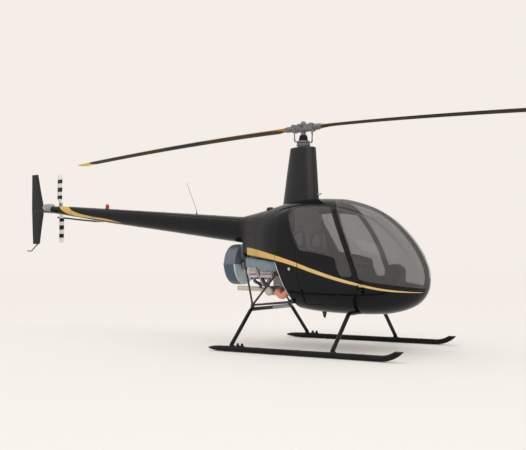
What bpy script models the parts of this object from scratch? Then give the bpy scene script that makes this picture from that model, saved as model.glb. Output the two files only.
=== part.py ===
"""Light two-seat piston helicopter, parked on its skids, in metres.

Lengths along the body are measured from the rotor mast: X forward, Y to the left, Z up from the ground.
Everything hangs on one empty, which sets the mast a little ahead of the middle of the whole.
"""

import math

import bmesh
import bpy
import numpy as np
from mathutils import Matrix, Vector

# Main sizes
MAST_X = 0.48
ROTOR_RADIUS = 3.835
BLADE_CHORD = 0.183
BLADE_DROOP = 0.171
BLADE_YAW = math.radians(-1.6)
HUB_Z = 2.651
TAIL_ROTOR = Vector((-4.388, 0.272, 1.863))
TAIL_RADIUS = 0.5335
TAIL_CHORD = 0.102
SKID_Y = 0.943
SKID_R = 0.031
SKID_Z = 0.0335
WALL = 0.035
FLOOR = 0.030
CROSS_TUBE_R = 0.0225
FRONT_TUBE_Z = 0.440
PANE = 0.010
GAP = 0.0003
DOOR_GAP = 0.007
DOOR_INNER_Y = 0.355
DOOR_HINGE = (0.948, 0.535)
HINGE_Z = (0.68, 0.76)
MAST_R = 0.030
MAST_FOOT_Z = 1.560

# Body sections: x, bottom, top, half width, height of the widest line, upper and lower roundness
SECTIONS = (
    (-0.96, 0.98, 1.570, 0.150, 1.36, 2.3, 4.0),
    (-0.86, 0.98, 1.588, 0.168, 1.35, 2.3, 4.0),
    (-0.74, 0.98, 1.608, 0.200, 1.32, 2.4, 4.5),
    (-0.60, 0.96, 1.632, 0.275, 1.28, 2.5, 5.0),
    (-0.45, 0.90, 1.660, 0.362, 1.22, 2.5, 5.0),
    (-0.28, 0.70, 1.698, 0.455, 1.16, 2.5, 4.4),
    (-0.10, 0.500, 1.740, 0.522, 1.10, 2.5, 3.4),
    (0.10, 0.452, 1.762, 0.550, 1.06, 2.5, 3.0),
    (0.30, 0.425, 1.764, 0.560, 1.03, 2.5, 2.8),
    (0.50, 0.412, 1.750, 0.560, 1.01, 2.4, 2.7),
    (0.70, 0.408, 1.706, 0.553, 0.98, 2.35, 2.6),
    (0.90, 0.409, 1.636, 0.530, 0.95, 2.3, 2.5),
    (1.08, 0.420, 1.538, 0.488, 0.92, 2.25, 2.4),
    (1.23, 0.448, 1.414, 0.427, 0.89, 2.2, 2.3),
    (1.35, 0.492, 1.284, 0.352, 0.86, 2.1, 2.2),
    (1.445, 0.552, 1.150, 0.266, 0.84, 2.05, 2.1),
    (1.510, 0.630, 1.025, 0.172, 0.825, 2.0, 2.0),
    (1.545, 0.715, 0.925, 0.086, 0.815, 2.0, 2.0),
    (1.556, 0.812, 0.818, 0.003, 0.815, 2.0, 2.0),
)
NOSE_FROM = 0.9
NOSE_X = 1.556

# Side outlines, as X and Z
CABIN_SIDE = (
    (0.095, 0.30), (0.090, 0.44), (0.070, 0.55), (-0.121, 1.008), (-0.121, 1.90), (1.80, 1.90), (1.80, 0.30),
)
COWL_SIDE = (
    (-0.1213, 1.009), (-0.74, 1.086), (-0.755, 1.235), (-0.880, 1.60), (-0.885, 1.90), (-0.1213, 1.90),
)
BOOM_SIDE = (
    (-0.7553, 1.10), (-0.7553, 1.2351), (-0.8803, 1.6001), (-0.8853, 1.80), (-5.0, 2.3), (-5.0, 1.10),
)
ROOM_SIDE = ((0.160, 0.30), (0.130, 0.56), (0.060, 0.78), (0.060, 1.90), (1.80, 1.90), (1.80, 0.30))
PILLAR_FRONT = (
    (0.540, 1.680), (0.580, 1.607), (0.604, 1.558), (0.661, 1.451), (0.728, 1.314),
    (0.785, 1.180), (0.840, 1.037), (0.879, 0.918), (0.904, 0.825),
)
DOOR_SIDE = (
    (0.225, 0.520), (0.200, 0.84), (0.172, 1.14), (0.078, 1.33), (0.030, 1.445), (-0.006, 1.529),
    (-0.020, 1.585), (0.000, 1.652), (0.120, 1.690),
) + PILLAR_FRONT + ((0.918, 0.780), (0.918, 0.640), (0.865, 0.520))
WINDOW_SIDE = (
    (0.216, 1.148), (0.120, 1.327), (0.069, 1.445), (0.033, 1.529), (0.022, 1.579), (0.030, 1.606),
    (0.060, 1.626), (0.139, 1.646), (0.505, 1.638), (0.543, 1.607), (0.567, 1.558), (0.624, 1.451), (0.691, 1.314),
    (0.748, 1.180), (0.803, 1.037), (0.842, 0.918), (0.858, 0.862), (0.838, 0.842), (0.748, 0.836),
    (0.722, 0.856), (0.679, 0.939), (0.662, 1.049), (0.512, 1.089), (0.363, 1.118), (0.240, 1.135),
)
SHIELD_SIDE = (
    (0.505, 1.90), (0.517, 1.728), (0.565, 1.671), (0.603, 1.607), (0.627, 1.558), (0.684, 1.451),
    (0.751, 1.314), (0.808, 1.180), (0.863, 1.037), (0.902, 0.918), (0.924, 0.835), (0.955, 0.804),
    (1.049, 0.783), (1.150, 0.768), (1.274, 0.749), (1.381, 0.735), (1.462, 0.724), (1.524, 0.711),
    (1.80, 0.700), (1.80, 1.90),
)
STRIP_HALF = 0.040

for obj in list(bpy.data.objects):
    bpy.data.objects.remove(obj)
for old in list(bpy.data.collections):
    bpy.data.collections.remove(old)

whole = bpy.data.collections.new("helicopter")
cutters = bpy.data.collections.new("cutters")
bpy.context.scene.collection.children.link(whole)
bpy.context.scene.collection.children.link(cutters)
cutters.hide_render = True
bpy.context.scene.unit_settings.system = "METRIC"
bpy.context.scene.unit_settings.scale_length = 1.0

root = bpy.data.objects.new("mast_point", None)
root.location = (MAST_X, 0.0, 0.0)
whole.objects.link(root)

LOOKS = {
    "black": ((0.012, 0.012, 0.014), 0.0, 0.12),
    "charcoal": ((0.045, 0.048, 0.052), 0.0, 0.45),
    "dark": ((0.03, 0.03, 0.032), 0.0, 0.6),
    "grey": ((0.28, 0.31, 0.34), 0.3, 0.45),
    "slate": ((0.10, 0.14, 0.18), 0.2, 0.5),
    "metal": ((0.62, 0.63, 0.64), 1.0, 0.35),
    "steel": ((0.30, 0.30, 0.31), 0.9, 0.4),
    "red": ((0.62, 0.09, 0.05), 0.0, 0.6),
    "white": ((0.82, 0.83, 0.83), 0.0, 0.3),
    "bronze": ((0.16, 0.10, 0.05), 0.2, 0.45),
    "glass": ((0.75, 0.80, 0.80), 0.0, 0.05),
    "leather": ((0.05, 0.045, 0.045), 0.0, 0.7),
}


def painted(obj, look):
    colour, metallic, rough = LOOKS[look]
    material = bpy.data.materials.new(obj.name)
    material.use_nodes = True
    shader = material.node_tree.nodes["Principled BSDF"]
    shader.inputs["Base Color"].default_value = (*colour, 1.0)
    shader.inputs["Metallic"].default_value = metallic
    shader.inputs["Roughness"].default_value = rough
    if look == "glass":
        shader.inputs["Transmission Weight"].default_value = 0.9
    material.diffuse_color = (*colour, 1.0)
    obj.data.materials.clear()
    obj.data.materials.append(material)


def placed(name, mesh, look=None):
    """An object of the mesh: a shown piece when it has a look, or else a cutter."""
    obj = bpy.data.objects.new(name, mesh)
    obj.parent = root
    if look is None:
        cutters.objects.link(obj)
        obj.hide_render = True
        obj.display_type = "WIRE"
    else:
        whole.objects.link(obj)
        painted(obj, look)
    return obj


def from_bmesh(name, work, look=None):
    bmesh.ops.remove_doubles(work, verts=work.verts, dist=1e-6)
    bmesh.ops.recalc_face_normals(work, faces=work.faces)
    mesh = bpy.data.meshes.new(name)
    work.to_mesh(mesh)
    work.free()
    return placed(name, mesh, look)


def baked(obj):
    """Turns a curve, or a mesh with modifiers, into the plain mesh that it evaluates to."""
    bpy.context.view_layer.update()
    graph = bpy.context.evaluated_depsgraph_get()
    mesh = bpy.data.meshes.new_from_object(obj.evaluated_get(graph))
    work = bmesh.new()
    work.from_mesh(mesh)
    bmesh.ops.remove_doubles(work, verts=work.verts, dist=1e-6)
    bmesh.ops.dissolve_degenerate(work, edges=work.edges, dist=1e-6)
    work.to_mesh(mesh)
    work.free()
    name, held = obj.name, obj.users_collection[0]
    materials = list(obj.data.materials)
    bpy.data.objects.remove(obj)
    made = bpy.data.objects.new(name, mesh)
    made.parent = root
    held.objects.link(made)
    if held is cutters:
        made.hide_render = True
        made.display_type = "WIRE"
    mesh.materials.clear()
    for material in materials:
        mesh.materials.append(material)
    return made


def combined(obj, other, operation):
    modifier = obj.modifiers.new(operation.lower(), "BOOLEAN")
    modifier.operation = operation
    modifier.solver = "EXACT"
    modifier.object = other
    return baked(obj)


def less(obj, *others):
    for other in others:
        obj = combined(obj, other, "DIFFERENCE")
    return obj


def within(obj, other):
    return combined(obj, other, "INTERSECT")


def joined(obj, *others):
    """The object with the others fused on; the others are dropped."""
    for other in others:
        obj = combined(obj, other, "UNION")
        bpy.data.objects.remove(other)
    return obj


def copied(obj, name, look=None):
    return placed(name, obj.data.copy(), look)


def mirrored(obj, name, look=None):
    """A copy of the piece on the other side of the centre plane."""
    work = bmesh.new()
    work.from_mesh(obj.data)
    bmesh.ops.scale(work, vec=(1.0, -1.0, 1.0), verts=work.verts)
    bmesh.ops.reverse_faces(work, faces=work.faces)
    mesh = bpy.data.meshes.new(name)
    work.to_mesh(mesh)
    work.free()
    return placed(name, mesh, look)


def box(name, low, high, look=None, bevel=0.0, segments=2):
    work = bmesh.new()
    bmesh.ops.create_cube(work, size=1.0)
    size = Vector(high) - Vector(low)
    bmesh.ops.scale(work, vec=size, verts=work.verts)
    bmesh.ops.translate(work, vec=(Vector(low) + Vector(high)) / 2, verts=work.verts)
    if bevel:
        bmesh.ops.bevel(
            work, geom=work.edges[:], offset=bevel, segments=segments, affect="EDGES", profile=0.5
        )
    return from_bmesh(name, work, look)


def rod(name, start, end, radius, look=None, end_radius=None, segments=20):
    """A straight round bar or cone between two points."""
    start, end = Vector(start), Vector(end)
    work = bmesh.new()
    bmesh.ops.create_cone(
        work, cap_ends=True, segments=segments, radius1=radius,
        radius2=radius if end_radius is None else end_radius, depth=(end - start).length,
    )
    turn = (end - start).to_track_quat("Z", "Y").to_matrix().to_4x4()
    bmesh.ops.transform(work, matrix=Matrix.Translation((start + end) / 2) @ turn, verts=work.verts)
    return from_bmesh(name, work, look)


def ball(name, centre, radii, look=None, segments=20):
    work = bmesh.new()
    bmesh.ops.create_uvsphere(work, u_segments=segments, v_segments=segments // 2, radius=1.0)
    bmesh.ops.scale(work, vec=radii, verts=work.verts)
    bmesh.ops.translate(work, vec=centre, verts=work.verts)
    return from_bmesh(name, work, look)


def rounded(points, radius, steps):
    """The line through the points with each corner turned into an arc."""
    points = [Vector(point) for point in points]
    line = [points[0]]
    for before, here, after in zip(points, points[1:], points[2:]):
        back, ahead = before - here, after - here
        half = back.angle(ahead) / 2
        reach = min(radius / math.tan(half), 0.45 * back.length, 0.45 * ahead.length)
        first, last = back.normalized() * reach, ahead.normalized() * reach
        centre = (first + last).normalized() * reach / math.cos(half)
        start, stop = first - centre, last - centre
        sweep = start.angle(stop)
        for k in range(steps + 1):
            a, b = math.sin((1 - k / steps) * sweep), math.sin(k / steps * sweep)
            line.append(here + centre + (start * a + stop * b) / math.sin(sweep))
    line.append(points[-1])
    return line


def tube(name, points, radius, look=None, bend=0.1, sides=2, steps=4):
    """A bent round tube through the points."""
    curve = bpy.data.curves.new(name, "CURVE")
    curve.dimensions = "3D"
    curve.bevel_depth = radius
    curve.bevel_resolution = sides
    curve.use_fill_caps = True
    line = rounded(points, bend, steps)
    spline = curve.splines.new("POLY")
    spline.points.add(len(line) - 1)
    for spot, at in zip(spline.points, line):
        spot.co = (*at, 1.0)
    return baked(placed(name, curve, look))


def turned(name, profile, centre, axis, look=None, segments=32):
    """A closed round piece: the profile holds distance from the axis and height along it."""
    work = bmesh.new()
    rim = [work.verts.new((r, 0.0, h)) for r, h in profile]
    edges = [work.edges.new((rim[i], rim[(i + 1) % len(rim)])) for i in range(len(rim))]
    bmesh.ops.spin(
        work, geom=rim + edges, cent=(0, 0, 0), axis=(0, 0, 1), angle=2 * math.pi, steps=segments, use_merge=True,
    )
    turn = Vector(axis).to_track_quat("Z", "Y").to_matrix().to_4x4()
    bmesh.ops.transform(work, matrix=Matrix.Translation(centre) @ turn, verts=work.verts)
    bmesh.ops.remove_doubles(work, verts=work.verts, dist=1e-5)
    bmesh.ops.dissolve_degenerate(work, edges=work.edges, dist=1e-6)
    return from_bmesh(name, work, look)


def loft(name, rings, look=None):
    """Skin over rings of points, with a flat face on each end."""
    work = bmesh.new()
    rows = [[work.verts.new(point) for point in ring] for ring in rings]
    count = len(rows[0])
    for row, following in zip(rows, rows[1:]):
        for i in range(count):
            j = (i + 1) % count
            work.faces.new((row[i], row[j], following[j], following[i]))
    work.faces.new(rows[0][::-1])
    work.faces.new(rows[-1])
    return from_bmesh(name, work, look)


def slab(name, outline, low, high, look=None):
    """A side outline in X and Z, thick in Y from low to high."""
    return loft(name, [[(x, low, z) for x, z in outline], [(x, high, z) for x, z in outline]], look)


def inset(outline, amount):
    """The outline with each edge moved inwards, or outwards for a negative amount."""
    points = [np.array(p) for p in outline]
    area = sum(a[0] * b[1] - a[1] * b[0] for a, b in zip(points, points[1:] + points[:1]))
    side = 1.0 if area > 0 else -1.0
    moved = []
    for i, here in enumerate(points):
        before, after = points[i - 1], points[(i + 1) % len(points)]
        first = (here - before) / np.linalg.norm(here - before)
        second = (after - here) / np.linalg.norm(after - here)
        one = side * np.array((-first[1], first[0]))
        two = side * np.array((-second[1], second[0]))
        moved.append(tuple(here + (one + two) * amount / (1.0 + one @ two)))
    return moved


def smooth_sections(sections, steps):
    """Sections on a smooth curve through the given ones."""
    given = np.array(sections, float)
    ends = np.vstack((2 * given[0] - given[1], given, 2 * given[-1] - given[-2]))
    rows = []
    for a, b, c, d in zip(ends, ends[1:], ends[2:], ends[3:]):
        for t in np.arange(steps) / steps:
            even, odd = 2 * a - 5 * b + 4 * c - d, 3 * b - a - 3 * c + d
            rows.append(0.5 * (2 * b + (c - a) * t + even * t**2 + odd * t**3))
    rows.append(given[-1])
    return rows


def body_ring(section, shrink=0.0, floor=0.0, count=44):
    """Points around one body section, moved inwards by the wall's thickness."""
    x, low, high, half, middle, upper, lower = section
    push = min(max((x - NOSE_FROM) / (NOSE_X - NOSE_FROM), 0.0), 1.0)
    x = x - shrink * push
    half, high, low = half - shrink, high - shrink, low + shrink + floor
    points = []
    for k in range(count):
        angle = 2 * math.pi * k / count
        side, rise = math.cos(angle), math.sin(angle)
        power = upper if rise >= 0 else lower
        reach = (high - middle) if rise >= 0 else (middle - low)
        y = half * math.copysign(abs(side) ** (2 / power), side)
        z = middle + reach * math.copysign(abs(rise) ** (2 / power), rise)
        points.append((x, y, z))
    return points


def body(name, shrink=0.0, floor=0.0, look=None, steps=2, count=44):
    rows = smooth_sections(SECTIONS, steps)
    kept = [row for row in rows if row[3] > shrink * 1.6 and row[2] - row[4] > shrink * 1.6]
    rings = [body_ring(row, shrink, floor, count) for row in kept]
    return loft(name, rings, look)


# Body skin, cabin room and the side outlines as cutters
skin = body("cut_skin")
skin_out = body("cut_skin_out", shrink=-GAP)
room = within(body("cut_room", WALL, FLOOR, count=32), slab("cut_room_side", ROOM_SIDE, -1.0, 1.0))
room_fit = within(
    body("cut_room_fit", WALL + GAP, FLOOR, count=32), slab("cut_fit_side", inset(ROOM_SIDE, GAP), -1.0, 1.0)
)
pane_core = body("cut_pane_core", shrink=PANE)
shields = joined(
    slab("cut_shield_right", SHIELD_SIDE, -0.75, -STRIP_HALF),
    slab("cut_shield_left", SHIELD_SIDE, STRIP_HALF, 0.75),
)

# Cabin: hollow, with both doorways and both windshield openings, floor, firewall and roof
cabin = within(body("cabin_shell", look="black"), slab("cut_cabin_side", CABIN_SIDE, -1.0, 1.0))
cabin = less(cabin, room)
for side, name in ((-1, "right"), (1, "left")):
    cabin = less(cabin, slab(f"cut_doorway_{name}", DOOR_SIDE, *sorted((side * 0.14, side * 0.75))))
    cabin = less(cabin, slab(f"cut_windshield_{name}", SHIELD_SIDE, *sorted((side * STRIP_HALF, side * 0.75))))
cabin = less(
    cabin, rod("cut_mast_hole", (0, 0, 1.62), (0, 0, 1.95), 0.060),
    rod("cut_mast_socket", (0, 0, MAST_FOOT_Z - GAP), (0, 0, 1.95), MAST_R + 0.0006, segments=32),
)
tunnel = rod(
    "cut_front_tunnel", (0.81, -0.62, FRONT_TUBE_Z), (0.81, 0.62, FRONT_TUBE_Z), CROSS_TUBE_R + 0.001
)
cabin = less(cabin, tunnel, rod("cut_lamp_hole", (1.34, 0, 0.63), (1.54, 0, 0.47), 0.0455, segments=24))

# Windshield halves
pane_front = slab("cut_pane_front", inset(SHIELD_SIDE, 0.0008), -0.75, -STRIP_HALF - 0.0008)
pane = less(within(body("windshield_right", look="glass"), pane_front), pane_core)
mirrored(pane, "windshield_left", "glass")

# Doors, each hollowed only by its window, with the pane set in the frame and a latch handle low at the front
door = less(
    within(body("door_right", look="black"), slab("cut_door", inset(DOOR_SIDE, DOOR_GAP), -0.75, -DOOR_INNER_Y)),
    room, slab("cut_door_window", WINDOW_SIDE, -0.75, -0.1),
    box("cut_door_heel", (0.15, -0.7, 0.40), (0.241, -0.1, 0.70)),
)
door = joined(door, box("door_handle", (0.650, -0.503, 0.622), (0.706, -0.472, 0.641)))
hx, hy = DOOR_HINGE
for z in HINGE_Z:
    door = joined(
        door,
        joined(
            box("hinge_pad", (0.864, -hy - 0.0070, z - 0.008), (0.906, -0.466, z + 0.008)),
            box("hinge_arm", (0.900, -hy - 0.0080, z - 0.010), (hx, -hy + 0.0080, z + 0.010)),
            rod("hinge_knuckle", (hx, -hy, z - 0.012), (hx, -hy, z + 0.012), 0.0085, segments=16),
        ),
    )
    for low in (z - 0.0313, z + 0.0123):
        eye = joined(
            rod("hinge_eye", (hx, -hy, low), (hx, -hy, low + 0.019), 0.0085, segments=16),
            box("hinge_root", (hx - 0.004, -hy + 0.002, low + 0.002), (hx + 0.028, -0.455, low + 0.017)),
        )
        cabin = joined(cabin, mirrored(eye, "hinge_left"), eye)
mirrored(door, "door_left", "black")
pane_side = slab("cut_door_pane", inset(WINDOW_SIDE, 0.0008), -0.75, -0.147)
glass = less(within(body("door_window_right", look="glass"), pane_side), pane_core)
mirrored(glass, "door_window_left", "glass")

# Seats, console and the controls that show through the glass
base = within(box("seat_base", (0.19, -0.25, 0.42), (0.66, 0.25, 0.700), "dark", 0.01), room_fit)
seat = joined(
    box("seat_right", (0.17, -0.425, 0.7003), (0.69, -0.030, 0.800), "leather", 0.03, 3),
    box("seat_back", (0.0605, -0.425, 0.72), (0.175, -0.030, 1.36), None, 0.03, 3),
)
seat = within(seat, room_fit)
mirrored(seat, "seat_left", "leather")
CONSOLE_SIDE = ((1.00, 0.40), (1.02, 0.70), (1.10, 0.96), (1.17, 0.985), (1.24, 0.93), (1.24, 0.40))
console = within(slab("console", CONSOLE_SIDE, -0.13, 0.13, "dark"), room_fit)
cyclic = joined(
    tube("cyclic", ((0.77, 0, 0.45), (0.77, 0, 0.72), (0.72, 0, 0.998)), 0.014, "dark"),
    tube(
        "cyclic_bar",
        ((0.70, -0.36, 0.90), (0.715, -0.30, 0.985), (0.72, 0, 1.0), (0.715, 0.30, 0.985), (0.70, 0.36, 0.90)),
        0.012,
    ),
)
cyclic = within(cyclic, room_fit)
pedals = rod("pedals", (1.10, -0.20, 0.570), (1.10, 0.20, 0.570), 0.009, "metal", segments=12)
for y in (-0.200, -0.158, 0.158, 0.200):
    pedals = joined(pedals, box("pedal_pad", (1.094, y - 0.018, 0.565), (1.106, y + 0.018, 0.67)))
console = less(console, rod("cut_pedal_shaft", (1.10, -0.3, 0.570), (1.10, 0.3, 0.570), 0.0094, segments=12))

# Cowling behind the cabin, over the engine
cowling = within(body("cowling", look="black"), slab("cut_cowl_side", COWL_SIDE, -1.0, 1.0))
cap = rod("fuel_cap", (-0.40, -0.12, 1.60), (-0.40, -0.12, 1.703), 0.048, "metal", segments=24)
cap = less(cap, skin_out)

# Mast fairing: a streamlined pylon around the mast, standing on the roof
fairing_rings = []
for z, front, rear, half in (
    (1.60, 0.205, -0.300, 0.122), (1.78, 0.198, -0.275, 0.120), (2.10, 0.180, -0.228, 0.112),
    (2.36, 0.163, -0.186, 0.106), (2.405, 0.150, -0.172, 0.098),
):
    ring = []
    for k in range(40):
        angle = 2 * math.pi * k / 40
        along, across = math.cos(angle), math.sin(angle)
        if along > 0:
            ring.append((0.02 + (front - 0.02) * along, half * across, z))
        else:
            ring.append((0.02 + (0.02 - rear) * along, half * math.copysign(abs(across) ** 1.35, across), z))
    fairing_rings.append(ring)
fairing = less(
    loft("mast_fairing", fairing_rings, "black"), skin_out,
    rod("cut_fairing_bore", (0, 0, 1.5), (0, 0, 2.6), 0.060),
)
PITOT_LINE = ((0.183, 0, 1.825), (0.220, 0, 1.825), (0.240, 0, 1.833), (0.292, 0, 1.835))
pitot = joined(
    tube("pitot_tube", PITOT_LINE, 0.008, "metal"),
    rod("pitot_foot", (0.1805, 0, 1.825), (0.206, 0, 1.825), 0.018, segments=16),
)
fairing_out = [[(x + math.copysign(GAP, x), y * 1.003, z) for x, y, z in ring] for ring in fairing_rings]
pitot = less(pitot, loft("cut_fairing_out", fairing_out))

# Tail boom: a tapered tube, open at its front end
def boom_ring(x, middle, radius, count=32):
    turns = [2 * math.pi * k / count for k in range(count)]
    return [(x, radius * math.cos(turn), middle + radius * math.sin(turn)) for turn in turns]


BOOM = (
    (-0.70, 1.412, 0.170), (-0.90, 1.427, 0.166), (-2.20, 1.580, 0.127), (-3.10, 1.683, 0.102),
    (-3.90, 1.783, 0.070), (-4.10, 1.806, 0.060), (-4.27, 1.821, 0.053),
)
boom = loft("tailcone", [boom_ring(*row) for row in BOOM], "black")
boom = within(boom, slab("cut_boom_side", BOOM_SIDE, -0.4, 0.4))
boom_core = [boom_ring(x, z, r - 0.012) for x, z, r in ((-0.5, 1.39, 0.172),) + BOOM[:5]]
boom = less(boom, loft("cut_boom_core", boom_core))
boom_out = loft("cut_boom_out", [boom_ring(x, z, r + GAP) for x, z, r in BOOM])

# Tail: gearbox, fin, stabiliser, skid and guard
gearbox = joined(
    box("tail_gearbox", (-4.455, -0.055, 1.805), (-4.2703, 0.06, 1.915), "grey", 0.02, 3),
    rod("gearbox_neck", (-4.388, 0.03, 1.863), (-4.388, 0.190, 1.863), 0.036, end_radius=0.026),
)


def blade_section(chord, thick, count=16):
    """A closed wing section, nose at the front, about its quarter chord."""
    points = []
    for k in range(count):
        angle = 2 * math.pi * k / count
        along = 0.5 * (1 + math.cos(angle))
        curve = 0.2969 * math.sqrt(along) - 0.126 * along - 0.3516 * along**2 + 0.2843 * along**3
        high = 5 * thick * chord * (curve - 0.0980 * along**4) + 0.0008
        points.append((chord * (0.25 - along), high if math.sin(angle) > 0 else -high))
    return points


def fin_rings(spec):
    rings = []
    for z, front, rear in spec:
        chord = front - rear
        rings.append([(front - chord * 0.25 + px, py, z) for px, py in blade_section(chord, 0.08)])
    return rings


fin = loft(
    "vertical_fin",
    fin_rings((
        (1.307, -4.540, -4.687), (1.55, -4.505, -4.705), (1.84, -4.4553, -4.723),
        (2.10, -4.530, -4.728), (2.379, -4.598, -4.733),
    )),
    "charcoal",
)
wing = blade_section(0.23, 0.10)
stab = loft(
    "horizontal_stabiliser",
    [[(px - 4.1925, y, 1.776 + py) for px, py in wing] for y in (-0.330, -0.20, -0.03)], "charcoal",
)
stab = less(stab, boom_out, box("cut_gear_out", (-4.46, -0.0553, 1.80), (-4.27, 0.07, 1.92)))
tail_skid = tube(
    "tail_skid", ((-4.585, 0, 1.3065), (-4.715, 0, 1.205), (-4.745, 0, 1.197), (-4.801, 0, 1.205)), 0.008, "dark",
    bend=0.02,
)
tail_skid = less(tail_skid, box("cut_skid_top", (-4.7, -0.1, 1.3067), (-4.5, 0.1, 1.5)))
GUARD_LINE = (
    (-3.22, 0.030, 1.640), (-3.34, 0.105, 1.622), (-3.72, 0.350, 1.645),
    (-4.05, 0.385, 1.680), (-4.555, 0.375, 1.738),
)
guard = less(tube("tail_guard", GUARD_LINE, 0.013, "dark"), boom_out)
beacon = rod("beacon", (-3.174, 0, 1.76), (-3.174, 0, 1.832), 0.030, "red")
beacon = less(joined(beacon, ball("beacon_top", (-3.174, 0, 1.832), (0.030, 0.030, 0.026))), boom_out)
whip = tube("whip_antenna", ((-1.597, 0, 1.58), (-1.597, 0, 1.68), (-1.760, 0, 2.077)), 0.005, "dark")
whip = less(whip, boom_out)

# Engine: a plain block for the case, with the pieces that show around it
engine = box("engine_block", (-0.70, -0.16, 0.80), (-0.22, 0.16, 1.02), "metal", 0.02)
bank = rod("cylinders_right", (-0.50, -0.385, 0.90), (-0.50, -0.1603, 0.90), 0.066, "grey", segments=12)
bank = joined(bank, rod("cylinder", (-0.30, -0.385, 0.90), (-0.30, -0.1603, 0.90), 0.066, segments=12))
for x in (-0.50, -0.30):
    head = box("cylinder_head", (x - 0.085, -0.420, 0.822), (x + 0.085, -0.372, 0.978), None, 0.014)
    bank = joined(bank, head)
    for y in (-0.345, -0.311, -0.277, -0.243, -0.209):
        bank = joined(bank, rod("cylinder_fin", (x, y, 0.90), (x, y + 0.010, 0.90), 0.087, segments=12))
bank = joined(bank, box("cylinder_base", (-0.590, -0.186, 0.858), (-0.210, -0.1603, 0.945)))
mirrored(bank, "cylinders_left", "grey")
SCROLL = Vector((-0.92, 0, 0.985))
scroll = turned(
    "fan_scroll",
    ((0.075, -0.085), (0.248, -0.085), (0.256, -0.06), (0.256, 0.06), (0.238, 0.085), (0.075, 0.085)),
    SCROLL, (1, 0, 0), "slate", 40,
)
DUCT_SIDE = ((-0.840, 1.085), (-0.840, 1.232), (-0.768, 1.232), (-0.765, 1.076), (-0.800, 1.030))
scroll = joined(scroll, slab("scroll_duct", DUCT_SIDE, -0.120, 0.120))
fan = joined(
    rod("fan_shaft", (-1.16, 0, 0.985), (-0.7003, 0, 0.985), 0.022, "steel"),
    rod("fan_hub", (-1.03, 0, 0.985), (-0.83, 0, 0.985), 0.0745, segments=32),
)
PANEL_SIDE = (
    (-0.590, 0.956), (-0.594, 1.060), (-0.160, 1.006), (-0.135, 0.899), (-0.337, 0.890), (-0.419, 0.949),
)
panel = slab("cooling_panel_right", PANEL_SIDE, -0.435, -0.4203, "grey")
muffler = joined(
    rod("muffler", (-0.33, -0.30, 0.665), (-0.33, 0.30, 0.665), 0.056, "steel", segments=24),
    tube("tailpipe", ((-0.35, -0.22, 0.665), (-0.50, -0.22, 0.683), (-0.784, -0.22, 0.690)), 0.028),
    rod("muffler_riser", (-0.33, -0.09, 0.68), (-0.33, -0.09, 0.7997), 0.022),
    rod("muffler_riser", (-0.33, 0.09, 0.68), (-0.33, 0.09, 0.7997), 0.022),
)
airbox = joined(
    rod("carb_airbox", (-0.19, -0.214, 0.665), (-0.19, -0.05, 0.665), 0.070, "grey", segments=28),
    rod("carb", (-0.236, -0.12, 0.66), (-0.236, -0.12, 0.7997), 0.028),
)
HOSE_LINE = (
    (0.03, -0.34, 0.735), (-0.06, -0.345, 0.640), (-0.120, -0.340, 0.600),
    (-0.190, -0.330, 0.655), (-0.190, -0.2203, 0.665),
)
hose = tube("air_hose", HOSE_LINE, 0.040, "red")

# Steel tube frame under the engine, with its two engine mounts
REAR_LEG = ((-0.445, -0.470, 0.500), (-0.722, -0.222, 1.087), (-0.728, -0.170, 1.190))
frame_tubes = joined(
    tube("frame_tubes", REAR_LEG, 0.012, "dark", bend=0.05),
    tube("frame_side", ((-0.445, -0.470, 0.500), (-0.055, -0.470, 0.942)), 0.012),
    tube("frame_low", ((-0.445, -0.470, 0.500), (0.120, -0.430, 0.548)), 0.012),
    tube("frame_cross", ((-0.445, -0.470, 0.500), (-0.445, 0.470, 0.500)), 0.012),
    tube("frame_rear_left", [(x, -y, z) for x, y, z in REAR_LEG], 0.012, bend=0.05),
    tube("frame_side_left", ((-0.445, 0.470, 0.500), (-0.055, 0.470, 0.942)), 0.012),
    tube("frame_low_left", ((-0.445, 0.470, 0.500), (0.120, 0.430, 0.548)), 0.012),
    ball("frame_knot", (-0.445, -0.470, 0.500), (0.022, 0.022, 0.022)),
    ball("frame_knot", (-0.445, 0.470, 0.500), (0.022, 0.022, 0.022)),
    rod("engine_mount", (-0.275, -0.470, 0.690), (-0.400, -0.140, 0.840), 0.013, segments=12),
    rod("engine_mount", (-0.275, 0.470, 0.690), (-0.400, 0.140, 0.840), 0.013, segments=12),
)
cabin_out = within(copied(skin_out, "cut_cabin_out"), slab("cut_cabin_grown", inset(CABIN_SIDE, -GAP), -1.0, 1.0))
cowl_out = within(copied(skin_out, "cut_cowl_out"), slab("cut_cowl_grown", inset(COWL_SIDE, -GAP), -1.0, 1.0))
engine_out = box("cut_engine_out", (-0.7003, -0.1603, 0.7997), (-0.2197, 0.1603, 1.0203))
frame_tubes = less(frame_tubes, cabin_out, cowl_out, engine_out)
hose = less(hose, cabin_out)

# Landing gear: two skids, each on two struts
REAR_LINE = ((-0.434, -SKID_Y, 0.080), (-0.445, -0.504, 0.452), (-0.445, 0.504, 0.452), (-0.434, SKID_Y, 0.080))
FRONT_LINE = (
    (0.810, -SKID_Y, 0.080), (0.810, -0.515, FRONT_TUBE_Z), (0.810, 0.515, FRONT_TUBE_Z), (0.810, SKID_Y, 0.080),
)
rear_gear = tube("cross_tube_rear", REAR_LINE, CROSS_TUBE_R, "black", sides=3)
front_gear = tube("cross_tube_front", FRONT_LINE, CROSS_TUBE_R, "black", sides=3)
skid = tube(
    "skid_right",
    ((-0.700, -SKID_Y, SKID_Z), (1.40, -SKID_Y, SKID_Z), (1.584, -SKID_Y, 0.110)),
    SKID_R, "black", bend=0.35, sides=3,
)
shoe = box("skid_shoe", (-0.60, -SKID_Y - 0.012, 0.0), (1.30, -SKID_Y + 0.012, 0.02))
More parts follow.
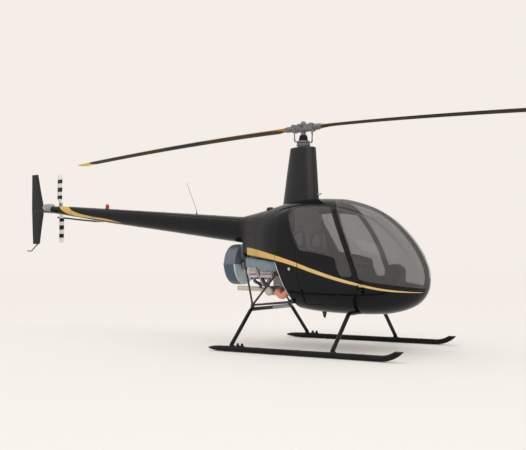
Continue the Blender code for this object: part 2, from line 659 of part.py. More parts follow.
tail = rod("skid_tail", (-0.695, -SKID_Y, SKID_Z), (-0.742, -SKID_Y, 0.041), 0.029, end_radius=0.014, segments=16)
skid = joined(skid, shoe, tail, box("skid_lug", (-0.38, -SKID_Y - 0.012, 0.04), (-0.28, -SKID_Y + 0.012, 0.088)))
for x in (-0.434, 0.810):
    skid = joined(skid, rod("skid_saddle", (x, -SKID_Y, 0.03), (x, -SKID_Y + 0.008, 0.078), 0.034, segments=12))
skid = less(
    skid,
    tube("cut_rear_leg", REAR_LINE, CROSS_TUBE_R + GAP, sides=3),
    tube("cut_front_leg", FRONT_LINE, CROSS_TUBE_R + GAP, sides=3),
)
mirrored(skid, "skid_left", "black")

# Belly antenna and landing light
belly = less(rod("belly_antenna", (0.28, 0, 0.345), (0.28, 0, 0.47), 0.012, "dark", segments=12), skin_out)
lamp = rod("landing_light", (1.34, 0, 0.63), (1.54, 0, 0.47), 0.045, "metal", segments=24)
lamp = less(within(lamp, skin), room)

# Rotor head: turning mast, hub, links and two blades
mast = joined(
    rod("rotor_mast", (0, 0, MAST_FOOT_Z), (0, 0, 2.66), MAST_R, "steel", segments=24),
    rod("swash_upper", (0, 0, 2.460), (0, 0, 2.488), 0.082, segments=28),
    rod("mast_boot", (0, 0, 2.488), (0, 0, 2.560), 0.060, end_radius=0.050, segments=24),
)
swash = joined(
    rod("swashplate", (0, 0, 2.4053), (0, 0, 2.430), 0.070, "metal", segments=28),
    rod("swash_ring", (0, 0, 2.428), (0, 0, 2.453), 0.084, segments=28),
)
swash = less(
    swash, rod("cut_swash_bore", (0, 0, 2.3), (0, 0, 2.5), 0.040),
    rod("cut_swash_open", (0, 0, 2.3), (0, 0, 2.41), 0.0605, segments=28),
)
hub = joined(
    box("rotor_hub", (-0.150, -0.055, 2.600), (0.150, 0.055, 2.702), "dark", 0.015),
    rod("teeter_bolt", (0, -0.085, 2.672), (0, 0.085, 2.672), 0.020),
    rod("hub_cap", (0, 0, 2.69), (0, 0, 2.730), 0.034, end_radius=0.026),
)
hub = less(hub, rod("cut_hub_mast", (0, 0, 2.5), (0, 0, 2.6603), 0.0303, segments=24))


def yawed(obj):
    """Turns a rotor piece about the mast to where the blades stand."""
    obj.data.transform(Matrix.Rotation(BLADE_YAW, 4, "Z"))
    return obj


def main_blade(name, turn, look="bronze", grow=0.0):
    rings = []
    for r, chord, thick in (
        (0.1503, 0.070, 0.85), (0.24, 0.080, 0.75), (0.30, 0.105, 0.42), (0.42, BLADE_CHORD, 0.15),
        (0.9, BLADE_CHORD, 0.13), (1.6, BLADE_CHORD, 0.13), (2.3, BLADE_CHORD, 0.13), (3.0, BLADE_CHORD, 0.13),
        (3.5, BLADE_CHORD, 0.13), (3.815, BLADE_CHORD, 0.13), (ROTOR_RADIUS, BLADE_CHORD * 0.86, 0.09),
    ):
        part = max(r - 0.2, 0.0) / (ROTOR_RADIUS - 0.2)
        drop = BLADE_DROOP * part**1.6
        pitch = math.radians(4.0 - 6.0 * part)
        ring = []
        for along, up in blade_section(chord + grow, thick):
            # The nose of the section leads in the turning direction, counter-clockwise from above.
            y = along * math.cos(pitch) - up * math.sin(pitch)
            z = along * math.sin(pitch) + up * math.cos(pitch)
            spot = Vector((r, y, HUB_Z - drop + z))
            spot.rotate(Matrix.Rotation(turn, 4, "Z").to_quaternion())
            ring.append(tuple(spot))
        rings.append(ring)
    return loft(name, rings, look)


blade_front = main_blade("blade_front", 0.0)
blade_rear = main_blade("blade_rear", math.pi)
hub_out = box("cut_hub_out", (-0.1503, -0.0553, 2.5997), (0.1503, 0.0553, 2.7023))
links = []
for k, name in ((0, "front"), (1, "rear")):
    side = 1 - 2 * k
    link = tube(
        f"pitch_link_{name}",
        [(side * x, side * y, z) for x, y, z in (
            (0.054, 0.059, 2.474), (0.074, 0.082, 2.476), (0.078, 0.090, 2.628), (0.172, 0.090, 2.640)
        )],
        0.008, "steel", bend=0.012,
    )
    horn = rod("pitch_horn", (side * 0.172, side * 0.097, 2.640), (side * 0.190, 0.0, 2.645), 0.012, segments=12)
    link = less(
        joined(link, horn), rod(f"cut_swash_{name}", (0, 0, 2.4597), (0, 0, 2.4883), 0.0823, segments=28),
        hub_out, main_blade(f"cut_blade_{name}", k * math.pi, None, 0.0010),
    )
    links.append(link)

for piece in (hub, blade_front, blade_rear, *links):
    yawed(piece)

# Tail rotor: hub and two blades
yoke = Vector((0.030, 0.022, 0.090))
shaft_from, shaft_to = TAIL_ROTOR - Vector((0, 0.0817, 0)), TAIL_ROTOR + Vector((0, 0.045, 0))
tail_hub = joined(
    rod("tail_rotor_hub", shaft_from, shaft_to, 0.016, "steel"),
    box("tail_yoke", TAIL_ROTOR - yoke, TAIL_ROTOR + yoke, None, 0.008),
)


def tail_blade(name, side):
    rings = []
    for r, chord, thick in (
        (0.0903, 0.060, 0.50), (0.12, 0.075, 0.30), (0.16, TAIL_CHORD, 0.15), (0.35, TAIL_CHORD, 0.13),
        (0.52, TAIL_CHORD, 0.13), (TAIL_RADIUS, TAIL_CHORD * 0.85, 0.10),
    ):
        section = blade_section(chord, thick)
        rings.append([tuple(TAIL_ROTOR + Vector((side * along, up, side * r))) for along, up in section])
    return loft(name, rings, "white")


tail_blade("tail_blade_upper", 1)
tail_blade("tail_blade_lower", -1)
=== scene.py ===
"""Looks of a light two-seat piston helicopter, parked on its skids.

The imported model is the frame. Lengths along the body are measured from the rotor mast, in metres: X forward,
Y to the left, Z up from the ground, so each piece is placed with its origin under the mast.
"""

import math

import bmesh
import bpy
import numpy as np
from mathutils import Matrix, Vector
from mathutils.bvhtree import BVHTree
from mathutils.interpolate import poly_3d_calc


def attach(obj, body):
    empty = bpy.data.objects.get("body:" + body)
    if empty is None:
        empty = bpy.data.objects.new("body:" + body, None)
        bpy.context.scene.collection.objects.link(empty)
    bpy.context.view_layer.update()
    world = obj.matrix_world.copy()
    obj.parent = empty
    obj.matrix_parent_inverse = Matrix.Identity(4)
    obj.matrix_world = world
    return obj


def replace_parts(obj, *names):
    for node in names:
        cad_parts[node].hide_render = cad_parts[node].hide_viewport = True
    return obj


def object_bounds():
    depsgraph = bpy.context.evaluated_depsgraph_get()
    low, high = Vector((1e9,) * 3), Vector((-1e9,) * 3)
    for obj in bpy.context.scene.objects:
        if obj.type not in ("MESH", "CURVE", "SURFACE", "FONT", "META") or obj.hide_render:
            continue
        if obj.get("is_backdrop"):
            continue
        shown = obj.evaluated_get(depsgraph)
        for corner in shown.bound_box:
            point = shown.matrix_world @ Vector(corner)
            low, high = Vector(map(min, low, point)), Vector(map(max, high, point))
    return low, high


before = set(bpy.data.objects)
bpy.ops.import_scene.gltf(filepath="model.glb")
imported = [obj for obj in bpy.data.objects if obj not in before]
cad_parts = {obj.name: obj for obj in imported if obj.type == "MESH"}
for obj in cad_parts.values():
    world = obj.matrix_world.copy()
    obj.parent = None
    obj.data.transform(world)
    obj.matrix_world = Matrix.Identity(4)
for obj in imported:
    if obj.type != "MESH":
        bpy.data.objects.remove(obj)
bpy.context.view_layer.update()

# Studio: a plain pale floor that runs into a pale surround, lit by a broad soft sun and two large soft panels.
# The camera stands low, to the right of the nose, and looks slightly up at the rotor head.
MAST_X = 0.48
CAMERA_PLACE = Vector((3.979 + MAST_X, -7.796, 0.947))
CAMERA_YAW, CAMERA_PITCH, CAMERA_ROLL = math.radians(120.29), math.radians(3.36), math.radians(-0.053)
LENS, SENSOR = 49.21, 36
PALE = (0.911, 0.855, 0.806)


def shown(name, data):
    """A new object in the scene."""
    new = bpy.data.objects.new(name, data)
    bpy.context.scene.collection.objects.link(new)
    return new


camera = shown("camera", bpy.data.cameras.new("camera"))
camera.data.lens, camera.data.sensor_width = LENS, SENSOR
camera.data.clip_end = 400
ahead = Vector((
    math.cos(CAMERA_PITCH) * math.cos(CAMERA_YAW),
    math.cos(CAMERA_PITCH) * math.sin(CAMERA_YAW),
    math.sin(CAMERA_PITCH),
))
camera.location = CAMERA_PLACE
camera.rotation_mode = "QUATERNION"
camera.rotation_quaternion = ahead.to_track_quat("-Z", "Y") @ Matrix.Rotation(CAMERA_ROLL, 3, "Z").to_quaternion()
bpy.context.scene.camera = camera
bpy.context.scene.view_settings.view_transform = "Standard"


def set_inputs(node, **values):
    """Sets a shader node's inputs by name, with underscores for spaces; a colour is given as three numbers."""
    for name, value in values.items():
        node.inputs[name.replace("_", " ")].default_value = (*value, 1) if isinstance(value, tuple) else value


surround = bpy.data.worlds.new("surround")
surround.use_nodes = True
set_inputs(surround.node_tree.nodes["Background"], Color=PALE, Strength=1)
bpy.context.scene.world = surround

FLOOR_REACH, FLOOR_WHITE = 160, (0.885, 0.878, 0.872)
floor_mesh = bpy.data.meshes.new("floor")
floor_corners = [(x * FLOOR_REACH, y * FLOOR_REACH, 0) for x, y in ((-1, -1), (1, -1), (1, 1), (-1, 1))]
floor_mesh.from_pydata(floor_corners, [], [(0, 1, 2, 3)])
floor = shown("floor", floor_mesh)
floor_look = bpy.data.materials.new("floor")
floor_look.use_nodes = True
floor_shader = floor_look.node_tree.nodes["Principled BSDF"]
set_inputs(floor_shader, Base_Color=FLOOR_WHITE, Roughness=0.9, Specular_IOR_Level=0.1)
floor_mesh.materials.append(floor_look)
floor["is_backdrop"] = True


def light(name, kind, place, aim, power, size):
    """A lamp at place that faces aim; size is a sun's angle, or a panel's width and height."""
    lamp = bpy.data.lights.new(name, kind)
    lamp.energy = power
    if kind == "SUN":
        lamp.angle = size
    else:
        lamp.shape, lamp.size, lamp.size_y = "RECTANGLE", *size
    holder = shown(name, lamp)
    holder.location = place
    holder.rotation_mode = "QUATERNION"
    holder.rotation_quaternion = (Vector(aim) - Vector(place)).to_track_quat("-Z", "Y")
    holder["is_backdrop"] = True


light("broad_sun", "SUN", (4, -6, 9), (0, 0, 0), 0.45, math.radians(70))
light("top_panel", "AREA", (-1, 0.4, 5.2), (-1, 0.35, 0), 24, (6, 1.5))
light("side_panel", "AREA", (3.5, -6.5, 4.5), (0.8, 0, 1.2), 22, (4, 2))

# Cabin shell: the outer skin of the pod with roof, belly, firewall, door posts and the strip between the windshields.
# In the real one it is riveted aluminium sheet over a steel frame, with moulded nose and roof, in black gloss paint
# with one gold stripe that rises from the nose along the side to the cowling's lower edge.

# Each row: X, lowest and highest Z, half width, Z where it is widest, and how square it is above and below that.
SECTIONS = (
    (-0.96, 0.98, 1.57, 0.15, 1.36, 2.3, 4),
    (-0.86, 0.98, 1.588, 0.168, 1.35, 2.3, 4),
    (-0.74, 0.98, 1.608, 0.2, 1.32, 2.4, 4.5),
    (-0.6, 0.96, 1.632, 0.275, 1.28, 2.5, 5),
    (-0.45, 0.9, 1.66, 0.362, 1.22, 2.5, 5),
    (-0.28, 0.7, 1.698, 0.455, 1.16, 2.5, 4.4),
    (-0.1, 0.5, 1.74, 0.522, 1.1, 2.5, 3.4),
    (0.1, 0.452, 1.762, 0.55, 1.06, 2.5, 3),
    (0.3, 0.425, 1.764, 0.56, 1.03, 2.5, 2.8),
    (0.5, 0.412, 1.75, 0.56, 1.01, 2.4, 2.7),
    (0.7, 0.408, 1.706, 0.553, 0.98, 2.35, 2.6),
    (0.9, 0.409, 1.636, 0.53, 0.95, 2.3, 2.5),
    (1.08, 0.42, 1.538, 0.488, 0.92, 2.25, 2.4),
    (1.23, 0.448, 1.414, 0.427, 0.89, 2.2, 2.3),
    (1.35, 0.492, 1.284, 0.352, 0.86, 2.1, 2.2),
    (1.445, 0.552, 1.15, 0.266, 0.84, 2.05, 2.1),
    (1.51, 0.63, 1.025, 0.172, 0.825, 2, 2),
    (1.545, 0.715, 0.925, 0.086, 0.815, 2, 2),
    (1.556, 0.812, 0.818, 0.003, 0.815, 2, 2),
)
NOSE_FROM, NOSE_X = 0.9, 1.556
WALL, FLOOR, GAP = 0.035, 0.03, 0.0003
CABIN_SIDE = (
    (0.095, 0.3), (0.09, 0.44), (0.07, 0.55), (-0.121, 1.008), (-0.121, 1.9), (1.8, 1.9), (1.8, 0.3),
)
ROOM_SIDE = ((0.16, 0.3), (0.13, 0.56), (0.06, 0.78), (0.06, 1.9), (1.8, 1.9), (1.8, 0.3))
PILLAR_FRONT = (
    (0.54, 1.68), (0.58, 1.607), (0.604, 1.558), (0.661, 1.451), (0.728, 1.314),
    (0.785, 1.18), (0.84, 1.037), (0.879, 0.918), (0.904, 0.825),
)
DOOR_SIDE = (
    (0.225, 0.52), (0.2, 0.84), (0.172, 1.14), (0.078, 1.33), (0.03, 1.445), (-0.006, 1.529),
    (-0.02, 1.585), (0, 1.652), (0.12, 1.69),
) + PILLAR_FRONT + ((0.918, 0.78), (0.918, 0.64), (0.865, 0.52))
SHIELD_SIDE = (
    (0.505, 1.9), (0.517, 1.728), (0.565, 1.671), *((x + 0.023, z) for x, z in PILLAR_FRONT[1:-1]),
    (0.924, 0.835), (0.955, 0.804), (1.049, 0.783), (1.15, 0.768), (1.274, 0.749), (1.381, 0.735),
    (1.462, 0.724), (1.524, 0.711), (1.8, 0.7), (1.8, 1.9),
)
STRIP_HALF = 0.04
MAST_FOOT_Z, MAST_R = 1.56, 0.03
# Each row of the stripe: X, the Z of its middle, and its half width.
STRIPE = (
    (-0.671, 1.146, 0.047), (-0.4, 1.108, 0.04), (-0.138, 1.06, 0.03), (0.109, 0.996, 0.024), (0.4, 0.9, 0.021),
    (0.688, 0.812, 0.018), (0.904, 0.757, 0.015), (1.171, 0.7, 0.011), (1.365, 0.678, 0.007), (1.512, 0.668, 0.002),
)
GOLD = (0.655, 0.415, 0.105)
GOLD_LIGHT = (0.79, 0.63, 0.33)
BLACK = (0.0045, 0.0055, 0.0075)


def smooth_sections(steps):
    """Sections on a smooth curve through the given ones."""
    given = np.array(SECTIONS, float)
    ends = np.vstack((2 * given[0] - given[1], given, 2 * given[-1] - given[-2]))
    rows = []
    for a, b, c, d in zip(ends, ends[1:], ends[2:], ends[3:]):
        for t in np.arange(steps) / steps:
            even, odd = 2 * a - 5 * b + 4 * c - d, 3 * b - a - 3 * c + d
            rows.append(0.5 * (2 * b + (c - a) * t + even * t**2 + odd * t**3))
    rows.append(given[-1])
    return rows


def body_rings(shrink=0, floor_rise=0, count=144, steps=6):
    """Rings of points round the pod, moved inwards by the wall's thickness."""
    turn = 2 * math.pi * np.arange(count) / count
    side, rise = np.cos(turn), np.sin(turn)
    rings = []
    for x, low, high, half, middle, upper, lower in smooth_sections(steps):
        if half <= shrink * 1.6 or high - middle <= shrink * 1.6:
            continue
        x -= shrink * min(max((x - NOSE_FROM) / (NOSE_X - NOSE_FROM), 0), 1)
        half, high, low = half - shrink, high - shrink, low + shrink + floor_rise
        power = np.where(rise >= 0, upper, lower)
        reach_z = np.where(rise >= 0, high - middle, middle - low)
        y = half * np.sign(side) * np.abs(side) ** (2 / power)
        z = middle + reach_z * np.sign(rise) * np.abs(rise) ** (2 / power)
        rings.append(np.column_stack((np.full(count, x), y, z)))
    return rings


def stock():
    """Nothing yet: the points, faces and paint numbers of a mesh that is being gathered."""
    return {"points": [], "faces": [], "paint": []}


def skin_over(work, rings, paint=0, caps=True, around=False):
    """Adds a skin over rings of points: closed by a face at each end, or running round to the first ring."""
    count, start = len(rings[0]), len(work["points"])
    for ring in rings:
        work["points"] += [tuple(map(float, point)) for point in ring]
    spans = len(rings) if around else len(rings) - 1
    faces = []
    for a in range(spans):
        b = (a + 1) % len(rings)
        for i in range(count):
            j = (i + 1) % count
            faces.append((start + a * count + i, start + a * count + j, start + b * count + j, start + b * count + i))
    if caps and not around:
        faces.append(tuple(range(start, start + count)))
        faces.append(tuple(range(start + (len(rings) - 1) * count, start + len(rings) * count)))
    work["faces"] += faces
    work["paint"] += [paint] * len(faces)


def mesh_of(name, work):
    """The gathered points and faces as one mesh, with its faces turned outwards."""
    mesh = bpy.data.meshes.new(name)
    mesh.from_pydata(work["points"], [], work["faces"])
    mesh.polygons.foreach_set("material_index", work["paint"])
    work_mesh = bmesh.new()
    work_mesh.from_mesh(mesh)
    bmesh.ops.recalc_face_normals(work_mesh, faces=work_mesh.faces)
    work_mesh.to_mesh(mesh)
    work_mesh.free()
    return mesh


def lofted(name, rings):
    work = stock()
    skin_over(work, rings)
    return mesh_of(name, work)


def sheet(work, outline, low, high):
    """Adds a flat sheet: a side outline in X and Z, thick in Y from low to high."""
    skin_over(work, [[(x, y, z) for x, z in outline] for y in (low, high)])


def slab(outline, low, high):
    """A sheet that is only cut with."""
    work = stock()
    sheet(work, outline, low, high)
    return mesh_of("slab", work)


def inset(outline, amount):
    """The outline with each edge moved inwards, or outwards for a negative amount."""
    points = [np.array(p) for p in outline]
    area = sum(a[0] * b[1] - a[1] * b[0] for a, b in zip(points, points[1:] + points[:1]))
    side = 1 if area > 0 else -1
    moved = []
    for i, here in enumerate(points):
        before, after = points[i - 1], points[(i + 1) % len(points)]
        first = (here - before) / np.linalg.norm(here - before)
        second = (after - here) / np.linalg.norm(after - here)
        one = side * np.array((-first[1], first[0]))
        two = side * np.array((-second[1], second[0]))
        moved.append(tuple(here + (one + two) * amount / (1 + one @ two)))
    return moved


def bent(points, radius, steps, closed=False):
    """The line through the points with each corner turned into an arc."""
    points = [Vector(point) for point in points]
    if closed:
        corners = [(points[i - 1], points[i], points[(i + 1) % len(points)]) for i in range(len(points))]
        line = []
    else:
        corners = list(zip(points, points[1:], points[2:]))
        line = [points[0]]
    for before, here, after in corners:
        back, onward = before - here, after - here
        half = back.angle(onward) / 2
        if half > math.pi / 2 - 0.01:
            line.append(here)
            continue
        span = min(radius / math.tan(half), 0.45 * back.length, 0.45 * onward.length)
        first, last = back.normalized() * span, onward.normalized() * span
        centre = (first + last).normalized() * span / math.cos(half)
        start, stop = first - centre, last - centre
        sweep = start.angle(stop)
        for k in range(steps + 1):
            a, b = math.sin((1 - k / steps) * sweep), math.sin(k / steps * sweep)
            line.append(here + centre + (start * a + stop * b) / math.sin(sweep))
    if not closed:
        line.append(points[-1])
    return line


def soft_outline(outline, radius=0.05, steps=4):
    """A closed side outline with rounded corners."""
    line = bent([(x, 0, z) for x, z in outline], radius, steps, closed=True)
    return [tuple(point.xz) for point in line]


def worked(obj):
    """The mesh that an object's modifiers make of it."""
    bpy.context.view_layer.update()
    return bpy.data.meshes.new_from_object(obj.evaluated_get(bpy.context.evaluated_depsgraph_get()))


def carved(mesh, inside, *cuts):
    """The part of the mesh that is inside another one, where one is given, less each of the cuts in turn."""
    obj = shown("passing", mesh.copy())
    for other in (inside, *cuts) if inside else cuts:
        tool = shown("tool", other)
        modifier = obj.modifiers.new("cut", "BOOLEAN")
        modifier.operation = "INTERSECT" if other == inside else "DIFFERENCE"
        modifier.solver, modifier.object = "MANIFOLD", tool
        result = worked(obj)
        bpy.data.objects.remove(tool)
        bpy.data.objects.remove(obj)
        obj = shown("passing", result)
    bpy.data.objects.remove(obj)
    return result


def surface_of(mesh):
    """The mesh's surface for finding points on it, with its smooth normals."""
    corners = [tuple(face.vertices) for face in mesh.polygons]
    places = [vertex.co.copy() for vertex in mesh.vertices]
    turned_out = [vertex.normal.copy() for vertex in mesh.vertices]
    return BVHTree.FromPolygons(places, corners), places, corners, turned_out


def smooth_normal(surface, index, place):
    """The smooth outward direction of a surface at a place on one of its faces."""
    _, places, corners, turned_out = surface
    ring = corners[index]
    weights = poly_3d_calc([places[i] for i in ring], place)
    total = Vector((0, 0, 0))
    for i, weight in zip(ring, weights):
        total += turned_out[i] * weight
    return total.normalized()


def follow(mesh, *surfaces, near=0.0006):
    """Gives each face on one of the surfaces its smooth normals, and the surface's number as its material."""
    mesh.shade_smooth()
    normals = [Vector((0, 0, 0))] * len(mesh.loops)
    for face in mesh.polygons:
        centre, chosen = face.center, None
        for number, surface in enumerate(surfaces):
            place, normal, index, gap = surface[0].find_nearest(centre)
            if gap < near * 4 and abs(normal.dot(face.normal)) > 0.97:
                chosen = number
                break
        face.material_index = len(surfaces) if chosen is None else chosen
        for loop in face.loop_indices:
            if chosen is None:
                normals[loop] = face.normal.copy()
                continue
            corner = mesh.vertices[mesh.loops[loop].vertex_index].co
            place, normal, index, gap = surfaces[chosen][0].find_nearest(corner)
            turned_out = smooth_normal(surfaces[chosen], index, place)
            normals[loop] = turned_out if turned_out.dot(face.normal) > 0 else -turned_out
    mesh.normals_split_custom_set(normals)


def put(name, mesh, looks, body="airframe"):
    """Shows a mesh, with its origin on the ground under the mast, and lets it ride with its body."""
    piece = shown(name, mesh)
    piece.location.x = MAST_X
    for number, look in enumerate(looks):
        if number < len(mesh.materials):
            mesh.materials[number] = look.material
        else:
            mesh.materials.append(look.material)
    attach(piece, body)
    return piece


def mirrored(mesh):
    """The mesh on the other side of the centre plane."""
    other = mesh.copy()
    kept = [normal.vector.copy() for normal in mesh.corner_normals]
    work = bmesh.new()
    work.from_mesh(other)
    bmesh.ops.scale(work, vec=(1, -1, 1), verts=work.verts)
    bmesh.ops.reverse_faces(work, faces=work.faces)
    work.to_mesh(other)
    work.free()
    normals = [None] * len(kept)
    for face, twin in zip(mesh.polygons, other.polygons):
        by_vertex = {mesh.loops[i].vertex_index: kept[i] for i in face.loop_indices}
        for i in twin.loop_indices:
            normal = by_vertex[other.loops[i].vertex_index]
            normals[i] = Vector((normal.x, -normal.y, normal.z))
    other.normals_split_custom_set(normals)
    return other


class Finish:
    """A material whose colour and roughness drift a little and whose surface has a fine grain."""

    def __init__(self, name, colour, rough, metallic=0, drift=0.2, patch=20, grain=300, bump=0.05, **fixed):
        self.material = bpy.data.materials.new(name)
        self.material.use_nodes = True
        self.tree = self.material.node_tree
        self.shader = self.tree.nodes["Principled BSDF"]
        set_inputs(self.shader, Metallic=metallic, **fixed)
        self.place = self.node("TexCoord").outputs["Object"]
        clouds = self.noise(patch, 4)
        self.colour = self.mix(clouds, tuple(c * (1 - drift) for c in colour), tuple(c * (1 + drift) for c in colour))
        self.link(self.colour, self.shader.inputs["Base Color"])
        self.rough = self.map(self.noise(patch * 3, 3), 0.3, 0.7, max(rough - 0.05, 0.02), min(rough + 0.07, 1))
        self.link(self.rough, self.shader.inputs["Roughness"])
        if bump:
            lump = self.node("Bump", Strength=bump, Distance=0.002)
            self.link(self.noise(grain, 2), lump.inputs["Height"])
            self.link(lump.outputs["Normal"], self.shader.inputs["Normal"])

    def node(self, kind, **values):
        node = self.tree.nodes.new("ShaderNode" + kind)
        set_inputs(node, **values)
        return node

    def link(self, source, target):
        self.tree.links.new(source, target)

    def noise(self, scale, detail):
        node = self.node("TexNoise", Scale=scale, Detail=detail)
        self.link(self.place, node.inputs["Vector"])
        return node.outputs["Fac"]

    def map(self, value, low, high, new_low, new_high):
        node = self.node("MapRange", From_Min=low, From_Max=high, To_Min=new_low, To_Max=new_high)
        self.link(value, node.inputs["Value"])
        return node.outputs["Result"]

    def math(self, kind, *values):
        node = self.node("Math")
        node.operation = kind
        for socket, value in zip(node.inputs, values):
            if isinstance(value, (int, float)):
                socket.default_value = value
            else:
                self.link(value, socket)
        return node.outputs["Value"]

    def mix(self, share, first, second):
        node = self.node("Mix")
        node.data_type = "RGBA"
        self.link(share, node.inputs["Factor"])
        for socket, value in ((node.inputs[6], first), (node.inputs[7], second)):
            if isinstance(value, tuple):
                socket.default_value = (*value, 1)
            else:
                self.link(value, socket)
        return node.outputs[2]

    def axes(self):
        node = self.node("SeparateXYZ")
        self.link(self.place, node.inputs["Vector"])
        return node.outputs["X"], node.outputs["Y"], node.outputs["Z"]

    def curve(self, value, points, low, high):
        """A value read off a smooth line through the points."""
        node = self.node("FloatCurve")
        first, last = points[0][0], points[-1][0]
        self.link(self.map(value, first, last, 0, 1), node.inputs["Value"])
        line = node.mapping.curves[0]
        for number, (x, y) in enumerate(points):
            spot = ((x - first) / (last - first), (y - low) / (high - low))
            if number < 2:
                line.points[number].location = spot
            else:
                line.points.new(*spot)
        node.mapping.update()
        return self.map(node.outputs["Value"], 0, 1, low, high)

    def below(self, value, limit, soft=0.0008):
        """One where the value is below the limit, and nothing above it, with a thin soft edge."""
        return self.map(self.math("SUBTRACT", value, limit), -soft, soft, 1, 0)

    def times(self, first, second):
        return self.math("MULTIPLY", first, second)

    def over(self, share, colour, rough=None):
        """Lays another colour over the share of the surface."""
        self.colour = self.mix(share, self.colour, colour)
        self.link(self.colour, self.shader.inputs["Base Color"])
        if rough is not None:
            node = self.node("Mix", B=rough)
            self.link(share, node.inputs["Factor"])
            self.link(self.rough, node.inputs["A"])
            self.rough = node.outputs["Result"]
            self.link(self.rough, self.shader.inputs["Roughness"])


body_paint = Finish("body_paint", BLACK, 0.07, patch=2.5, grain=160, bump=0.008, Specular_IOR_Level=0.2)
x_at, _, z_at = body_paint.axes()
stripe_middle = body_paint.curve(x_at, [(x, z) for x, z, half in STRIPE], 0.5, 1.3)
stripe_half = body_paint.curve(x_at, [(x, half) for x, z, half in STRIPE], 0, 0.05)
off_line = body_paint.math("ABSOLUTE", body_paint.math("SUBTRACT", z_at, stripe_middle))
inside = body_paint.below(off_line, stripe_half)
ends = body_paint.times(body_paint.map(x_at, -0.668, -0.664, 0, 1), body_paint.map(x_at, 1.5, 1.512, 1, 0))
stripe = body_paint.times(inside, ends)
toward_nose = body_paint.map(x_at, -0.45, 0.6, 0, 1)
patches = body_paint.mix(body_paint.noise(9, 3), (0.2, 0.2, 0.2), (0.8, 0.8, 0.8))
gold_drift = body_paint.mix(patches, GOLD, GOLD_LIGHT)
gold_drift = body_paint.mix(toward_nose, GOLD, gold_drift)
body_paint.over(stripe, gold_drift, 0.22)

trim_cloth = Finish("trim_cloth", (0.026, 0.026, 0.028), 0.85, drift=0.18, patch=14, grain=900, bump=0.35)

skin_mesh = lofted("skin", body_rings())
room_mesh = carved(lofted("room", body_rings(WALL, FLOOR, count=96, steps=4)), slab(ROOM_SIDE, -1, 1))
SKIN = surface_of(skin_mesh)
ROOM = surface_of(room_mesh)
door_hole = soft_outline(DOOR_SIDE, 0.03)
shield_hole = soft_outline(SHIELD_SIDE, 0.02)


def circle(count, first=0):
    """The cosine and sine of turns spaced evenly round a circle."""
    angles = [first + 2 * math.pi * k / count for k in range(count)]
    return [(math.cos(angle), math.sin(angle)) for angle in angles]


def round_rings(start, end, radii, sides=24):
    """Rings square to a line from start to end; radii holds pairs of the share along it and the radius there."""
    start, end = Vector(start), Vector(end)
    turn = (end - start).to_track_quat("Z", "Y")
    return [
        [start.lerp(end, share) + turn @ Vector((radius * c, radius * s, 0)) for c, s in circle(sides)]
        for share, radius in radii
    ]


def turned(work, start, end, radii, sides=24, paint=0):
    """Adds a piece turned on a lathe about the line from start to end."""
    skin_over(work, round_rings(start, end, radii, sides), paint)


def bar(work, start, end, radius, end_radius=None, sides=24, edge=0, paint=0):
    """Adds a round bar or cone, with its edges broken by the given amount."""
    last = radius if end_radius is None else end_radius
    radii = [(0, radius), (1, last)]
    if edge:
        share = edge / (Vector(end) - Vector(start)).length
        radii = [(0, radius - edge), (share, radius), (1 - share, last), (1, last - edge)]
    turned(work, start, end, radii, sides, paint)


def rod(start, end, radius, sides=48):
    """A round bar that is only cut with."""
    return lofted("bar", round_rings(start, end, [(0, radius), (1, radius)], sides))


SIDES = ((-1, "right"), (1, "left"))
LAMP_LINE = ((1.34, 0, 0.63), (1.54, 0, 0.47))
cabin_cuts = [room_mesh]
for side, name in SIDES:
    cabin_cuts.append(slab(door_hole, *sorted((side * 0.35, side * 0.75))))
    cabin_cuts.append(slab(shield_hole, *sorted((side * STRIP_HALF, side * 0.75))))
cabin_cuts += [
    rod((0, 0, 1.62), (0, 0, 1.95), 0.06),
    rod((0, 0, MAST_FOOT_Z - GAP), (0, 0, 1.95), MAST_R + 0.0006),
    rod((0.81, -0.62, 0.44), (0.81, 0.62, 0.44), 0.0235),
    rod(*LAMP_LINE, 0.0455),
]
cabin_mesh = carved(skin_mesh, slab(CABIN_SIDE, -1, 1), *cabin_cuts)
follow(cabin_mesh, SKIN, ROOM)
INDOORS, LINED, CARPETED = 1, 3, 4
for face in cabin_mesh.polygons:
    if face.material_index != INDOORS:
        continue
    if face.center.x < 0.07 and abs(face.normal.x) > 0.9 and face.center.z > 0.7:
        face.material_index = LINED
    elif face.normal.z > 0.6 and face.center.z < 0.62:
        face.material_index = CARPETED
grey_lining = Finish("grey_lining", (0.36, 0.37, 0.39), 0.75, drift=0.1, patch=12, grain=700, bump=0.3)
floor_carpet = Finish("floor_carpet", (0.022, 0.022, 0.024), 0.95, drift=0.35, patch=60, grain=1400, bump=0.8)
cabin_looks = [body_paint, trim_cloth, body_paint, grey_lining, floor_carpet]
cabin = put("cabin", cabin_mesh, cabin_looks)
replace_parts(cabin, "cabin_shell")

# Doors: one on each side, hung on two outside hinges at the front edge.
# Each is a pressed aluminium shell with a deep window opening, a rubber strip round its edge and a small lever latch
# low at the front; the pane is a bulged sheet of tinted acrylic held in the frame by a thin black seal.
WINDOW_SIDE = (
    (0.216, 1.148), (0.12, 1.327), (0.069, 1.445), (0.033, 1.529), (0.022, 1.579), (0.03, 1.606),
    (0.06, 1.626), (0.139, 1.646), (0.505, 1.638), *((x - 0.037, z) for x, z in PILLAR_FRONT[1:-1]),
    (0.858, 0.862), (0.838, 0.842), (0.748, 0.836), (0.722, 0.856), (0.679, 0.939), (0.662, 1.049),
    (0.512, 1.089), (0.363, 1.118), (0.24, 1.135),
)
DOOR_GAP, DOOR_INNER_Y, PANE = 0.007, 0.355, 0.01
LATCH_Y, HINGE_X, HINGE_Y, HINGE_Z = 0.499, 0.948, 0.535, (0.68, 0.76)
window_hole = soft_outline(WINDOW_SIDE, 0.035)
pane_core = lofted("pane_core", body_rings(PANE))
